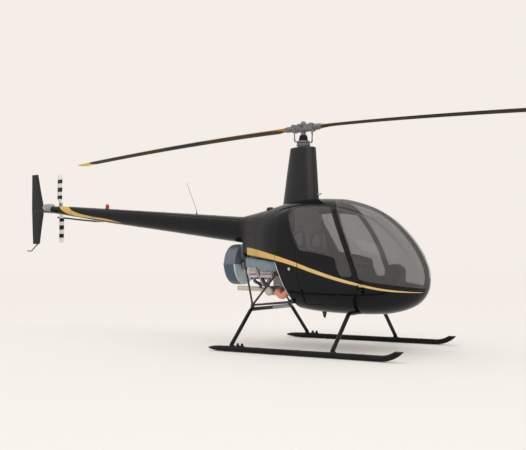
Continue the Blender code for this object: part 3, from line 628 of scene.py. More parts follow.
CORE = surface_of(pane_core)


def block(work, low, high, bevel=0, segments=2, paint=0, turn=None):
    """Adds a box with rounded edges between two corners; turn is an angle and an axis about its middle."""
    shape = bmesh.new()
    bmesh.ops.create_cube(shape, size=1)
    low, high = Vector(low), Vector(high)
    size, middle = Vector([abs(measure) for measure in high - low]), (low + high) / 2
    bmesh.ops.scale(shape, vec=size, verts=shape.verts)
    if bevel:
        bmesh.ops.bevel(shape, geom=shape.edges[:], offset=bevel, segments=segments, affect="EDGES", profile=0.5)
    if turn:
        bmesh.ops.transform(shape, matrix=Matrix.Rotation(turn[0], 4, turn[1]), verts=shape.verts)
    shape.verts.index_update()
    start = len(work["points"])
    work["points"] += [tuple(vertex.co + middle) for vertex in shape.verts]
    work["faces"] += [tuple(start + vertex.index for vertex in face.verts) for face in shape.faces]
    work["paint"] += [paint] * len(shape.faces)
    shape.free()


def pipe(work, line, radius, sides=16, paint=0, caps=True):
    """Adds a bent round tube along the line; radius is one number, or one for each point."""
    line = [Vector(point) for point in line]
    radii = radius if isinstance(radius, (list, tuple)) else [radius] * len(line)
    along = (line[1] - line[0]).normalized()
    side = along.orthogonal().normalized()
    rings = []
    for k, (here, size) in enumerate(zip(line, radii)):
        before, after = line[max(k - 1, 0)], line[min(k + 1, len(line) - 1)]
        onward = (after - before).normalized()
        side = (side - onward * side.dot(onward)).normalized()
        up = onward.cross(side)
        rings.append([here + (side * c + up * s) * size for c, s in circle(sides)])
    skin_over(work, rings, paint, caps)


def bead(work, centre, radii, sides=16, paint=0, top_only=None):
    """Adds a ball, a hair smaller than its radii, or the half of it that faces along top_only."""
    turn = Vector(top_only or (0, 0, 1)).to_track_quat("Z", "Y")
    steps = max(sides // 4, 2) if top_only else max(sides // 2, 4)
    first = 0 if top_only else -math.pi / 2
    rings = []
    for k in range(steps + 1):
        angle = first + (math.pi / 2 - first) * k / steps
        wide, tall = 0.999 * math.cos(angle), 0.999 * math.sin(angle)
        if wide < 1e-6:
            wide, tall = 0.02, math.sin(angle)
        rings.append([
            Vector(centre) + turn @ Vector((wide * c * radii[0], wide * s * radii[1], tall * radii[2]))
            for c, s in circle(sides)
        ])
    skin_over(work, rings, paint)


def edged(mesh, angle):
    """The mesh, smooth except where its faces meet at more than the angle."""
    mesh.shade_smooth()
    mesh.set_sharp_from_angle(angle=math.radians(angle))
    return mesh


def show(name, work, looks, body="airframe", angle=35):
    """Shows what has been gathered as one piece."""
    return put(name, edged(mesh_of(name, work), angle), looks, body)


def for_side(mesh, side):
    """The right side's mesh, or its mirror image for the left."""
    return mesh if side < 0 else mirrored(mesh)


def skin_spot(x, z, side, lift=0):
    """The point and the outward direction of the pod's skin beside (x, z)."""
    place, normal, index, gap = SKIN[0].ray_cast(Vector((x, side * 1.5, z)), Vector((0, -side, 0)))
    normal = smooth_normal(SKIN, index, place)
    return place + normal * lift, normal


def walked(points, step):
    """Places about a step apart along the line through the points, with the last point."""
    places = []
    for a, b in zip(points, points[1:]):
        count = max(int(math.dist(a, b) / step), 1)
        places += [(a[0] + (b[0] - a[0]) * k / count, a[1] + (b[1] - a[1]) * k / count) for k in range(count)]
    return places + [points[-1]]


def seal(work, line, side, radius, lift):
    """Adds a thin rubber line on the skin along a line seen from the side."""
    pipe(work, [skin_spot(x, z, side, lift)[0] for x, z in walked(line, 0.02)], radius, sides=6)


door_mesh = carved(
    skin_mesh,
    slab(inset(door_hole, DOOR_GAP), -0.75, -DOOR_INNER_Y),
    room_mesh,
    slab(window_hole, -0.75, -0.1),
    slab(((0.15, 0.4), (0.241, 0.4), (0.241, 0.7), (0.15, 0.7)), -0.7, -0.1),
)
follow(door_mesh, SKIN, ROOM)

steel = Finish("steel_work", (0.33, 0.33, 0.34), 0.34, 0.9, drift=0.15, patch=30, grain=260, bump=0.06)
black_metal = Finish("black_metal", (0.018, 0.018, 0.02), 0.38, patch=12, grain=350, bump=0.06)
tinted_pane = Finish("tinted_pane", (0.098, 0.1, 0.104), 0.04, drift=0.05, patch=2, bump=0, IOR=1.6, Alpha=0.37)
pane_mesh = carved(skin_mesh, slab(inset(window_hole, 0.0008), -0.75, -0.147), pane_core)
follow(pane_mesh, SKIN, CORE)
rubber = Finish("seal_rubber", (0.01, 0.01, 0.011), 0.62, drift=0.15, grain=500, bump=0.12)
door_rim = inset(door_hole, 0.0085)
jamb = [(max(x, 0.0645), z) for x, z in inset(door_hole, 0.0035)]
for side, name in SIDES:
    body = f"door_{name}"
    door_looks = [body_paint, trim_cloth, body_paint]
    door = put(f"door_panel_{name}", for_side(door_mesh, side), door_looks, body)
    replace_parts(door, f"door_{name}")
    pane = put(f"door_pane_{name}", for_side(pane_mesh, side), [tinted_pane] * 3, body)
    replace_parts(pane, f"door_window_{name}")
    work = stock()
    seal(work, window_hole + window_hole[:1], side, 0.0032, -0.0006)
    show(f"window_seal_{name}", work, [rubber], body)
    work, line = stock(), []
    for x, z in walked(jamb + jamb[:1], 0.02):
        on_wall = ROOM[0].ray_cast(Vector((x, 0, z)), Vector((0, side, 0)))[0]
        line.append(on_wall - Vector((0, side * 0.0072, 0)))
    pipe(work, line, 0.0068, sides=10)
    show(f"door_jamb_seal_{name}", work, [rubber])
    work = stock()
    seal(work, door_rim + door_rim[:1], side, 0.0026, -0.0014)
    show(f"door_seal_{name}", work, [rubber], body)

    work = stock()
    latch_y, arm_y, pin_y = side * LATCH_Y, side * (HINGE_Y - 0.062), side * HINGE_Y
    block(work, (0.65, latch_y - 0.004, 0.623), (0.706, latch_y + 0.004, 0.64), 0.0035, 3)
    bar(work, (0.664, side * 0.47, 0.631), (0.664, side * 0.501, 0.631), 0.011, edge=0.002)
    for z in HINGE_Z:
        block(work, (0.864, arm_y - 0.006, z - 0.008), (0.906, arm_y + 0.006, z + 0.008), 0.003)
        block(work, (0.892, pin_y - side * 0.066, z - 0.0075), (0.914, pin_y + side * 0.006, z + 0.0075), 0.003)
        block(work, (0.9, pin_y - 0.0065, z - 0.0095), (HINGE_X, pin_y + 0.0065, z + 0.0095), 0.003)
        bar(work, (HINGE_X, pin_y, z - 0.012), (HINGE_X, pin_y, z + 0.012), 0.0085, edge=0.001)
    show(f"door_fittings_{name}", work, [body_paint], body)
    work = stock()
    for z in HINGE_Z:
        for low in (z - 0.0313, z + 0.0123):
            bar(work, (HINGE_X, pin_y, low), (HINGE_X, pin_y, low + 0.019), 0.0085, edge=0.001)
            ear_low, ear_high = low + 0.002, low + 0.017
            ear = (HINGE_X - 0.004, pin_y - side * 0.002, ear_low), (HINGE_X + 0.028, side * 0.455, ear_high)
            block(work, *ear, 0.002)
        bar(work, (HINGE_X, pin_y, z - 0.033), (HINGE_X, pin_y, z + 0.034), 0.004)
    show(f"hinge_eyes_{name}", work, [body_paint])

# Windshields: two halves of bulged tinted acrylic, screwed to the frame and to the strip between them.
# They run from the lip above the gold stripe up over the roof edge, and each has a narrow seal round it.
shield_mesh = carved(skin_mesh, slab(inset(shield_hole, 0.0008), -0.75, -STRIP_HALF - 0.0008), pane_core)
follow(shield_mesh, SKIN, CORE)


def evenly(first, last, count):
    """Evenly spaced numbers from first to last."""
    return [first + (last - first) * k / (count - 1) for k in range(count)]


def skin_top(x, y):
    """The point of the pod's skin above or below (x, y), seen from above."""
    return SKIN[0].ray_cast(Vector((x, y, 3)), Vector((0, 0, -1)))[0]


for side, name in SIDES:
    shield = put(f"shield_{name}", for_side(shield_mesh, side), [tinted_pane] * 3)
    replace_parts(shield, f"windshield_{name}")
    work = stock()
    edge_line = [point for point in inset(shield_hole, -0.001) if point[1] < 1.7 and point[0] < 1.5]
    at = edge_line.index(min(edge_line, key=lambda point: point[0]))
    seal(work, edge_line[at:] + edge_line[:at], side, 0.003, -0.0006)
    beside_strip = side * (STRIP_HALF - 0.001)
    pipe(work, [skin_top(x, beside_strip) - Vector((0, 0, 0.0006)) for x in evenly(0.515, 1.5, 60)], 0.003, sides=6)
    show(f"shield_seal_{name}", work, [rubber])

# Cowling: the panels behind the cabin, over the fuel tanks, belts and gearbox, riveted and screwed to the frame.
# Its upper panel under the mast is a separate satin black sheet, and the gold stripe follows its lower edge.
COWL_SIDE = (
    (-0.1213, 1.009), (-0.74, 1.086), (-0.755, 1.235), (-0.88, 1.6), (-0.885, 1.9), (-0.1213, 1.9),
)
UPPER_EDGE = ((-0.79, 1.448), (-0.082, 1.537))


def upper_edge_z(x):
    """The height of the upper panel's lower edge."""
    (rear_x, rear_z), (front_x, front_z) = UPPER_EDGE
    return rear_z + (front_z - rear_z) / (front_x - rear_x) * (x - rear_x)


def rivets(work, spots, size=0.004, paint=0):
    """Adds domed rivet heads at (place, direction) pairs."""
    for place, normal in spots:
        turn = Vector(normal).to_track_quat("Z", "Y")
        rings = []
        for share, rise in ((1, -0.0006), (0.85, 0.0009), (0.35, 0.0016)):
            head = [Vector((size * share * c, size * share * s, rise)) for c, s in circle(6)]
            rings.append([Vector(place) + turn @ point for point in head])
        skin_over(work, rings, paint)


band_mesh = carved(skin_mesh, slab(COWL_SIDE, -1, 1))
follow(band_mesh, SKIN)
upper_paint = Finish("upper_paint", (0.004, 0.004, 0.005), 0.3, patch=3, grain=220, bump=0.03, Specular_IOR_Level=0.25)
UPPER_PANEL = 2
for face in band_mesh.polygons:
    if face.center.z > upper_edge_z(face.center.x):
        face.material_index = UPPER_PANEL
cowl = put("cowl", band_mesh, [body_paint, body_paint, upper_paint])
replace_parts(cowl, "cowling")

work = stock()
for side, name in SIDES:
    seal(work, [(x, upper_edge_z(x)) for x in (-0.69, -0.122)], side, 0.0016, 0.0002)
    seal(work, [(-0.1206, 1.02), (-0.1206, 1.62)], side, 0.0018, -0.0004)
    seal(work, [(-0.46, 1.125), (-0.5, 1.46)], side, 0.0014, 0.0002)
show("cowl_seams", work, [rubber])

bare_metal = Finish("bare_metal", (0.6, 0.61, 0.62), 0.32, 1, drift=0.08)
rivet_paint = Finish("rivet_paint", (0.012, 0.012, 0.013), 0.22, bump=0.02)
work = stock()
for side, name in SIDES:
    for x in (-0.105, -0.137):
        rivets(work, [skin_spot(x, z, side) for z in evenly(1.03, 1.6, 18)], 0.0038)
    rivets(work, [skin_spot(x, upper_edge_z(x) - 0.016, side) for x in evenly(-0.165, -0.725, 20)], 0.0038)
    low_rows = [(x, 1.022 - 0.1244 * (x + 0.1213) + 0.012) for x in evenly(-0.16, -0.68, 16)]
    low_rows += [(x, 0.487) for x in evenly(0.23, 0.83, 22)]
    low_rows += zip(evenly(0.09, -0.095, 12), evenly(0.6, 0.96, 12))
    rivets(work, [skin_spot(x, z, side) for x, z in low_rows], 0.0034)
show("pod_rivets", work, [rivet_paint], angle=60)
work = stock()
for side, name in SIDES:
    seal(work, [(0.0735, 0.548), (-0.1165, 1.004)], side, 0.0036, 0.0002)
show("firewall_edge_strips", work, [bare_metal])
work = stock()
line = [
    skin_top(0.56 + 0.9955 * (1 - (1 - share) ** 1.6), 0) + Vector((0, 0, 0.0005)) for share in evenly(0, 1, 80)
]
pipe(work, line, 0.0062, sides=10)
show("centre_bead", work, [bare_metal])

# Fuel cap: a turned alloy cap with a dark finish and a flush lever, screwed down on its ring in the cowling's top.
# Small grips for the fingers stand all round its rim.
CAP_PLACE, CAP_R = (-0.4, -0.12), 0.048
cap_top, cap_out = SKIN[0].ray_cast(Vector((*CAP_PLACE, 3)), Vector((0, 0, -1)))[:2]
cap_out = (cap_out + Vector((0, 0, 2))).normalized()
work = stock()
turned(work, cap_top - cap_out * 0.012, cap_top + cap_out * 0.02, [
    (0, CAP_R), (0.55, CAP_R), (0.62, CAP_R - 0.002), (0.66, CAP_R - 0.008), (0.9, CAP_R - 0.009),
    (1, CAP_R - 0.014),
], 48)
lever = cap_top + cap_out * 0.02
block(work, lever - Vector((0.03, 0.006, 0.003)), lever + Vector((0.03, 0.006, 0.004)), 0.002)
for c, s in circle(16):
    bead(work, cap_top + cap_out * 0.011 + Vector((c, s, 0)) * (CAP_R - 0.0085), (0.0035, 0.0035, 0.006), 6)
cap = show("tank_cap", work, [black_metal])
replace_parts(cap, "fuel_cap")

# Mast fairing: a streamlined tower of sheet metal round the mast, with a riveted leading-edge panel and an abrasion
# strip down its nose; the leading-edge panel is painted lighter as a painted reflection of the sky on the rounded
# front. The pitot tube, a bent alloy pipe on a small round foot, stands out of it.
# Each row of the fairing: Z, its front and rear X, and its half width.
FAIRING = (
    (1.6, 0.205, -0.3, 0.122), (1.78, 0.198, -0.275, 0.12), (2.1, 0.18, -0.228, 0.112),
    (2.36, 0.163, -0.186, 0.106), (2.399, 0.16, -0.181, 0.105), (2.405, 0.157, -0.178, 0.102),
)
PITOT_LINE = ((0.183, 0, 1.825), (0.22, 0, 1.825), (0.24, 0, 1.833), (0.292, 0, 1.835))
WIDEST_X = 0.02


def fairing_ring(z, front, rear, half, count=120):
    """An oval round the mast with a blunt nose and a lean tail."""
    ring = []
    for along, across in circle(count):
        if along > 0:
            ring.append((WIDEST_X + (front - WIDEST_X) * along, half * across, z))
        else:
            x = WIDEST_X + (WIDEST_X - rear) * along
            ring.append((x, half * math.copysign(abs(across) ** 1.35, across), z))
    return ring


def read_off(table, place):
    """The other columns of a table at a place in its first column, which rises."""
    rows = np.array(table)
    return [float(np.interp(place, rows[:, 0], column)) for column in rows[:, 1:].T]


def on_tower(x, z, side):
    """The point of the tower's front half at x and z."""
    front, rear, half = read_off(FAIRING, z)
    share = (x - WIDEST_X) / (front - WIDEST_X)
    return Vector((x, side * half * math.sqrt(1 - share**2), z))


fairing_loft = lofted("fairing", [fairing_ring(*row) for row in FAIRING])
mast_bore = rod((0, 0, 1.5), (0, 0, 2.6), 0.06)
fairing_mesh = carved(fairing_loft, None, lofted("skin_out", body_rings(-GAP)), mast_bore)
edged(fairing_mesh, 32)
fairing_paint = Finish("fairing_paint", (0.013, 0.0135, 0.016), 0.26, drift=0.15, patch=4, grain=240, bump=0.03,
                       Specular_IOR_Level=0.28)
fx, _, fz = fairing_paint.axes()
# The leading-edge panel is painted lighter grey than the sides: a painted reflection of the sky, not its own colour.
edge_at = fairing_paint.map(fz, 1.75, 2.4, 0.112, 0.088)
panel_sky_reflection = fairing_paint.below(edge_at, fx, 0.002)
fairing_paint.over(panel_sky_reflection, (0.03, 0.031, 0.031), 0.32)
nose_at = fairing_paint.map(fz, 1.6, 2.36, 0.178, 0.142)
nose_strip = fairing_paint.below(nose_at, fx, 0.002)
fairing_paint.over(nose_strip, (0.019, 0.02, 0.02), 0.45)
tower = put("mast_tower", fairing_mesh, [fairing_paint])
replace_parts(tower, "mast_fairing")
work = stock()
for side, name in SIDES:
    line, nose_line = [], []
    for z in evenly(1.78, 2.388, 24):
        seam_x, nose_x = 0.112 - 0.024 * (z - 1.75) / 0.65, WIDEST_X + 0.856 * (read_off(FAIRING, z)[0] - WIDEST_X)
        line.append(on_tower(seam_x, z, side))
        nose_line.append(on_tower(nose_x, z, side))
        out = Vector((0.35, side, 0)).normalized()
        rivets(work, [(on_tower(seam_x + dx, z, side), out) for dx in (-0.012, 0.01)], 0.0032)
    pipe(work, line, 0.003, 6)
    pipe(work, nose_line, 0.0034, 6)
show("tower_seams", work, [rivet_paint], angle=60)
work = stock()
foot_ring = fairing_ring(1.72, *read_off(FAIRING, 1.72), count=90)
foot_line = [skin_top(x * 1.02, y * 1.02) + Vector((0, 0, 0.002)) for x, y, z in foot_ring]
pipe(work, foot_line + foot_line[:1], 0.006, 8)
show("tower_foot_seal", work, [rubber])
work = stock()
pipe(work, bent(PITOT_LINE, 0.02, 5), [0.008] * 10 + [0.0072] * 2, 20)
bar(work, (0.19, 0, 1.825), (0.206, 0, 1.825), 0.018, edge=0.002)
for c, s in circle(4, math.pi / 4):
    bead(work, (0.206, 0.013 * c, 1.825 + 0.013 * s), (0.003, 0.003, 0.002), 8, top_only=(1, 0, 0))
pitot = show("pitot", work, [bare_metal])
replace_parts(pitot, "pitot_tube")

# Tail boom: a tapered tube of rolled sheet in riveted bays, black with a gold stroke that sweeps up its rear end.
# The stroke starts as a point low on the side, widens as it goes aft and curls up ahead of the tail gearbox.
# Each row of the boom: X, the Z of its middle, and its radius. Each point of the stroke's edges: X and Z.
BOOM = (
    (-0.7, 1.412, 0.17), (-0.9, 1.427, 0.166), (-2.2, 1.58, 0.127), (-3.1, 1.683, 0.102),
    (-3.9, 1.783, 0.07), (-4.1, 1.806, 0.06), (-4.27, 1.821, 0.053),
)
BOOM_SIDE = (
    (-0.7553, 1.1), (-0.7553, 1.2351), (-0.8803, 1.6001), (-0.8853, 1.8), (-5, 2.3), (-5, 1.1),
)
BAYS = (-1.3, -1.72, -2.14, -2.56, -2.98, -3.4, -3.82)
STROKE_LOWER = (
    (-4.13, 1.905), (-4.08, 1.845), (-3.94, 1.76), (-3.78, 1.712), (-3.4, 1.655), (-3.06, 1.604), (-2.85, 1.568),
)
STROKE_UPPER = (
    (-4.13, 1.99), (-3.98, 1.9), (-3.86, 1.818), (-3.76, 1.769), (-3.45, 1.69), (-3.06, 1.625), (-2.85, 1.57),
)


def boom_at(x):
    """The Z of the boom's middle and its radius at x."""
    return read_off(BOOM[::-1], x)


def boom_ring(x, grow=0, count=96):
    """A ring of points round the boom, out from its skin by grow."""
    middle, radius = boom_at(x)
    return [(x, (radius + grow) * c, middle + (radius + grow) * s) for c, s in circle(count)]


boom_rows = [boom_ring(x) for x in np.linspace(-0.7, -4.27, 60)]
boom_mesh = carved(
    lofted("boom", boom_rows), slab(BOOM_SIDE, -0.4, 0.4),
    lofted("core", [boom_ring(x, -0.012) for x in (-0.5, -0.7, -0.9, -2.2, -3.1, -3.9)]),
)
edged(boom_mesh, 40)
boom_paint = Finish("boom_paint", BLACK, 0.12, patch=2.5, grain=160, bump=0.012, Specular_IOR_Level=0.22)
bx, _, bz = boom_paint.axes()
back = boom_paint.times(bx, -1)
lower = boom_paint.curve(back, [(-x, z) for x, z in reversed(STROKE_LOWER)], 1.4, 2.1)
upper = boom_paint.curve(back, [(-x, z) for x, z in reversed(STROKE_UPPER)], 1.4, 2.1)
under = boom_paint.below(bz, upper)
above = boom_paint.below(lower, bz)
reach_x = boom_paint.map(bx, -2.851, -2.849, 1, 0)
stroke = boom_paint.times(boom_paint.times(under, above), reach_x)
boom_paint.over(stroke, GOLD, 0.22)
boom = put("boom", boom_mesh, [boom_paint])
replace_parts(boom, "tailcone")
work = stock()
for x in BAYS:
    for row_x in (x - 0.01, x + 0.01):
        middle, radius = boom_at(row_x)
        for c, s in circle(max(int(2 * math.pi * radius / 0.02), 12)):
            out = Vector((0, c, s))
            rivets(work, [(Vector((row_x, 0, middle)) + out * radius, out)], 0.003)
    lap = ((-0.0012, 0.0001), (-0.001, 0.0009), (0.001, 0.0009), (0.0012, 0.0001))
    skin_over(work, [boom_ring(x + dx, grow, 64) for dx, grow in lap])
show("boom_rivets", work, [rivet_paint], angle=60)

# Tail end: a cast alloy gearbox with its output neck, a symmetric fin above and below the boom, a stabiliser on the
# right side, a bent steel skid under the fin and a tube guard beside the tail rotor, with beacon and whip antenna.
TAIL_ROTOR = Vector((-4.388, 0.272, 1.863))

# Each row of the fin: Z and the X of its front and rear edge.
FIN = (
    (1.307, -4.54, -4.687), (1.55, -4.505, -4.705), (1.84, -4.4553, -4.723), (2.1, -4.53, -4.728),
    (2.379, -4.598, -4.733),
)
FIN_THICK, WING_THICK, WING_CHORD, WING_X, WING_Z = 0.08, 0.1, 0.23, -4.1925, 1.776
SKID_LINE = ((-4.585, 0, 1.3065), (-4.715, 0, 1.205), (-4.745, 0, 1.197), (-4.801, 0, 1.205))
GUARD_LINE = (
    (-3.22, 0.03, 1.64), (-3.34, 0.105, 1.622), (-3.72, 0.35, 1.645), (-4.05, 0.385, 1.68),
    (-4.555, 0.375, 1.738),
)


def wing_section(chord, thick, count=40):
    """A closed wing section, nose at the front, about its quarter chord."""
    points = []
    for c, s in circle(count):
        along = 0.5 * (1 + c)
        curve = 0.2969 * math.sqrt(along) - 0.126 * along - 0.3516 * along**2 + 0.2843 * along**3
        high = 5 * thick * chord * (curve - 0.098 * along**4) + 0.0008
        points.append((chord * (0.25 - along), high if s > 0 else -high))
    return points


cast_grey = Finish("cast_grey", (0.36, 0.37, 0.38), 0.42, 0.5, drift=0.12, patch=18, grain=420, bump=0.14)
work = stock()
block(work, (-4.44, -0.05, 1.81), (-4.2703, 0.055, 1.91), 0.028, 5)
bar(work, (-4.288, 0, 1.822), (-4.2703, 0, 1.822), 0.052, sides=40, edge=0.003)
bar(work, (-4.455, 0, 1.862), (-4.425, 0, 1.862), 0.04, sides=32, edge=0.004)
turned(work, (-4.388, 0.03, 1.863), (-4.388, 0.19, 1.863), [
    (0, 0.04), (0.2, 0.036), (0.22, 0.042), (0.3, 0.042), (0.32, 0.034), (0.9, 0.027), (1, 0.026),
], 32)
for c, s in circle(8):
    bead(work, (-4.455, 0.031 * c, 1.862 + 0.031 * s), (0.005, 0.005, 0.003), 6, top_only=(-1, 0, 0))
    neck_bolt = (-4.388 + 0.037 * c, 0.078, 1.863 + 0.037 * s)
    bead(work, neck_bolt, (0.0035, 0.0035, 0.003), 6, top_only=(0, 1, 0))
bar(work, (-4.36, -0.01, 1.905), (-4.36, -0.01, 1.9149), 0.012, sides=6)
gearbox = show("tail_drive", work, [cast_grey], angle=30)
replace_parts(gearbox, "tail_gearbox")

fin_paint = Finish("fin_paint", (0.013, 0.0135, 0.016), 0.32, drift=0.14, patch=5, grain=260, bump=0.04,
                   Specular_IOR_Level=0.25)
rings = []
for z in sorted(set(np.linspace(1.307, 2.379, 40)) | {1.84}):
    front, rear = read_off(FIN, z)
    squeeze = 0.5 + 0.5 * min((z - 1.307) / 0.008, (2.379 - z) / 0.008, 1) ** 0.5
    chord = front - rear
    rings.append([(front - chord * 0.25 + px, py * squeeze, z) for px, py in wing_section(chord, FIN_THICK)])
work = stock()
skin_over(work, rings)
fin = show("tail_fin", work, [fin_paint], angle=40)
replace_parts(fin, "vertical_fin")
work = stock()
for z in evenly(1.33, 2.35, 34):
    front, rear = read_off(FIN, z)
    for share, depth in ((0.3, 0.098), (0.8, 0.037)):
        x, half = front - (front - rear) * share, 5 * FIN_THICK * (front - rear) * depth
        rivets(work, [((x, side * half, z), (0, side, 0)) for side, name in SIDES], 0.003)
show("fin_rivets", work, [fin_paint], angle=60)

wing_loft = lofted("wing", [
    [(WING_X + along * long, y, WING_Z + up * deep) for along, up in wing_section(WING_CHORD, WING_THICK)]
    for y, long, deep in ((-0.33, 0.94, 0.7), (-0.326, 1, 1), (-0.2, 1, 1), (-0.03, 1, 1))
])
boom_seat = lofted("boom_seat", [boom_ring(x, GAP) for x in (-3.9, -4.1, -4.27)])
wing_mesh = edged(carved(wing_loft, None, boom_seat), 40)
stabiliser = put("tail_wing", wing_mesh, [fin_paint])
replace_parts(stabiliser, "horizontal_stabiliser")
work = stock()
for y in evenly(-0.315, -0.08, 14):
    for up in (-1, 1):
        rivets(work, [((WING_X - 0.0125, y, WING_Z + up * 0.0121), (0, 0, up))], 0.003)
show("wing_rivets", work, [fin_paint], angle=60)

work = stock()
pipe(work, bent(SKID_LINE, 0.03, 6), 0.008, 20)
bead(work, SKID_LINE[-1], (0.0085, 0.0085, 0.0085))
bar(work, (-4.586, 0, 1.3062), (-4.6, 0, 1.294), 0.012, edge=0.002)
tail_skid = show("tail_stinger", work, [black_metal])
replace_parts(tail_skid, "tail_skid")
work = stock()
guard_path = bent(GUARD_LINE, 0.1, 8)


def out_of_boom(point):
    middle, radius = boom_at(point.x)
    return math.hypot(point.y, point.z - middle) > radius + 0.004


start = next(k for k, point in enumerate(guard_path) if out_of_boom(point))
pipe(work, guard_path[start:], 0.013, 20)
bead(work, guard_path[start], (0.024, 0.017, 0.017))
guard = show("rotor_guard", work, [black_metal])
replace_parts(guard, "tail_guard")
lamp_red = Finish("lamp_red", (0.48, 0.012, 0.01), 0.1, drift=0.1, patch=30, bump=0)
beacon_foot = sum(boom_at(-3.174))
work = stock()
turned(work, (-3.174, 0, beacon_foot + 0.002), (-3.174, 0, 1.8575), [
    (0, 0.03), (0.1, 0.03), (0.11, 0.027), (0.3, 0.027), (0.7, 0.0255), (0.86, 0.0215), (0.95, 0.013),
    (1, 0.003),
], 32)
FOOT_FACES = 2 * 32
work["paint"][:FOOT_FACES] = [1] * FOOT_FACES
beacon = show("beacon_lamp", work, [lamp_red, black_metal], angle=50)
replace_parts(beacon, "beacon")
work = stock()
whip_line = bent(((-1.597, 0, 1.655), (-1.597, 0, 1.7), (-1.76, 0, 2.077)), 0.06, 8)
pipe(work, whip_line, evenly(0.005, 0.002, len(whip_line)), 12)
bar(work, (-1.597, 0, 1.65), (-1.597, 0, 1.668), 0.014, end_radius=0.008, edge=0.001)
whip = show("whip", work, [black_metal])
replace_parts(whip, "whip_antenna")

# Tail rotor: two metal blades on a teetering yoke with two pitch links, white with black warning bands.
# It turns on a short shaft out of the gearbox, on the left side. Each row of a blade: radius, chord and thickness.
TAIL_RADIUS, TAIL_CHORD = 0.5335, 0.102
TAIL_BLADE = (
    (0.0903, 0.06, 0.5), (0.105, 0.062, 0.46), (0.12, 0.075, 0.3), (0.14, 0.09, 0.2), (0.16, TAIL_CHORD, 0.15),
    (0.35, TAIL_CHORD, 0.13), (0.515, TAIL_CHORD, 0.13), (0.526, TAIL_CHORD * 0.96, 0.115),
    (TAIL_RADIUS, TAIL_CHORD * 0.85, 0.06),
)
BANDS = ((0.15, 0.205), (0.262, 0.33), (0.395, 0.455))
band_paint = Finish("band_paint", (0.8, 0.8, 0.79), 0.28, drift=0.04, patch=8, grain=260, bump=0.03)
tz = band_paint.axes()[2]
out = band_paint.math("ABSOLUTE", band_paint.math("SUBTRACT", tz, TAIL_ROTOR.z))
for near, far in BANDS:
    middle, half = (near + far) / 2, (far - near) / 2
    off = band_paint.math("ABSOLUTE", band_paint.math("SUBTRACT", out, middle))
    band_paint.over(band_paint.below(off, half), (0.006, 0.006, 0.007))
for name, side in (("upper", 1), ("lower", -1)):
    work = stock()
    skin_over(work, [
        [TAIL_ROTOR + Vector((side * along, up, side * r)) for along, up in wing_section(chord, thick, 48)]
        for r, chord, thick in TAIL_BLADE
    ])
    blade = show(f"tail_paddle_{name}", work, [band_paint], "tail_rotor", 40)
    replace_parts(blade, f"tail_blade_{name}")
work = stock()


def at_yoke(x, y, z):
    return TAIL_ROTOR + Vector((x, y, z))


bar(work, at_yoke(0, -0.0817, 0), at_yoke(0, 0.045, 0), 0.016, sides=28, edge=0.002)
block(work, at_yoke(-0.028, -0.018, -0.088), at_yoke(0.028, 0.018, 0.088), 0.01, 4)
bar(work, at_yoke(-0.03, 0, 0), at_yoke(0.03, 0, 0), 0.019, edge=0.002)
bar(work, at_yoke(0, 0.03, 0), at_yoke(0, 0.04, 0), 0.022, sides=6)
for side in (-1, 1):
    for dx in (-0.015, 0.015):
        bar(work, at_yoke(dx, -0.022, side * 0.07), at_yoke(dx, 0.022, side * 0.07), 0.006, sides=6)
    link = ((side * 0.022, -0.064, 0), (side * 0.026, -0.06, side * 0.052), (side * 0.026, -0.012, side * 0.08))
    pipe(work, bent([at_yoke(*point) for point in link], 0.012, 4), 0.0038, 10)
bar(work, at_yoke(0, -0.07, 0), at_yoke(0, -0.058, 0), 0.027, sides=28, edge=0.002)
tail_hub = show("tail_yoke", work, [steel], "tail_rotor")
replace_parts(tail_hub, "tail_rotor_hub")

# Rotor head: a steel mast through a fixed and a turning swashplate, a rubber boot and a forged teetering hub,
# with two control links up to horns on the blade roots. The forgings are bare grey alloy.
HUB_Z = 2.651
BLADE_YAW = math.radians(-1.6)
forged_grey = Finish("forged_grey", (0.165, 0.168, 0.18), 0.46, 0.45, drift=0.45, patch=46, grain=500, bump=0.25)
work = stock()
turned(work, (0, 0, MAST_FOOT_Z), (0, 0, 2.66), [(0, MAST_R), (1, MAST_R)], 48)
bar(work, (0, 0, 2.46), (0, 0, 2.488), 0.082, sides=56, edge=0.004)
for x, y in circle(4, math.pi / 4 + BLADE_YAW):
    bar(work, (0.07 * x, 0.07 * y, 2.474), (0.082 * x, 0.082 * y, 2.474), 0.01, edge=0.001)
turned(work, (0, 0, 2.488), (0, 0, 2.56), [
    (0, 0.06), (0.1, 0.06), (0.17, 0.053), (0.24, 0.058), (0.31, 0.051), (0.38, 0.056), (0.45, 0.049),
    (0.52, 0.054), (0.59, 0.047), (0.66, 0.052), (0.73, 0.046), (0.8, 0.05), (0.88, 0.045), (1, 0.044),
], 40, paint=1)
mast = show("turning_mast", work, [forged_grey, rubber], "main_rotor", 30)
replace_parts(mast, "rotor_mast")
work = stock()
turned(work, (0, 0, 2.412), (0, 0, 2.453), [
    (0, 0.068), (0.3, 0.07), (0.4, 0.07), (0.44, 0.084), (0.52, 0.084), (0.9, 0.084), (1, 0.08),
], 56)
for x, y in circle(3, 0.5):
    bar(work, (0.045 * x, 0.045 * y, 2.4055), (0.045 * x, 0.045 * y, 2.415), 0.01)
    bar(work, (0.074 * x, 0.074 * y, 2.436), (0.0838 * x, 0.0838 * y, 2.436), 0.009, edge=0.001)
turned(work, (0, 0, 2.4055), (0, 0, 2.414), [(0, 0.066), (1, 0.068)], 56)
plate = show("fixed_swashplate", work, [forged_grey], angle=30)
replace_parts(plate, "swashplate")


def at_blades(work):
    """Turns what has been gathered about the mast to where the blades stand."""
    turn = Matrix.Rotation(BLADE_YAW, 3, "Z")
    work["points"] = [tuple(turn @ Vector(point)) for point in work["points"]]
    return work


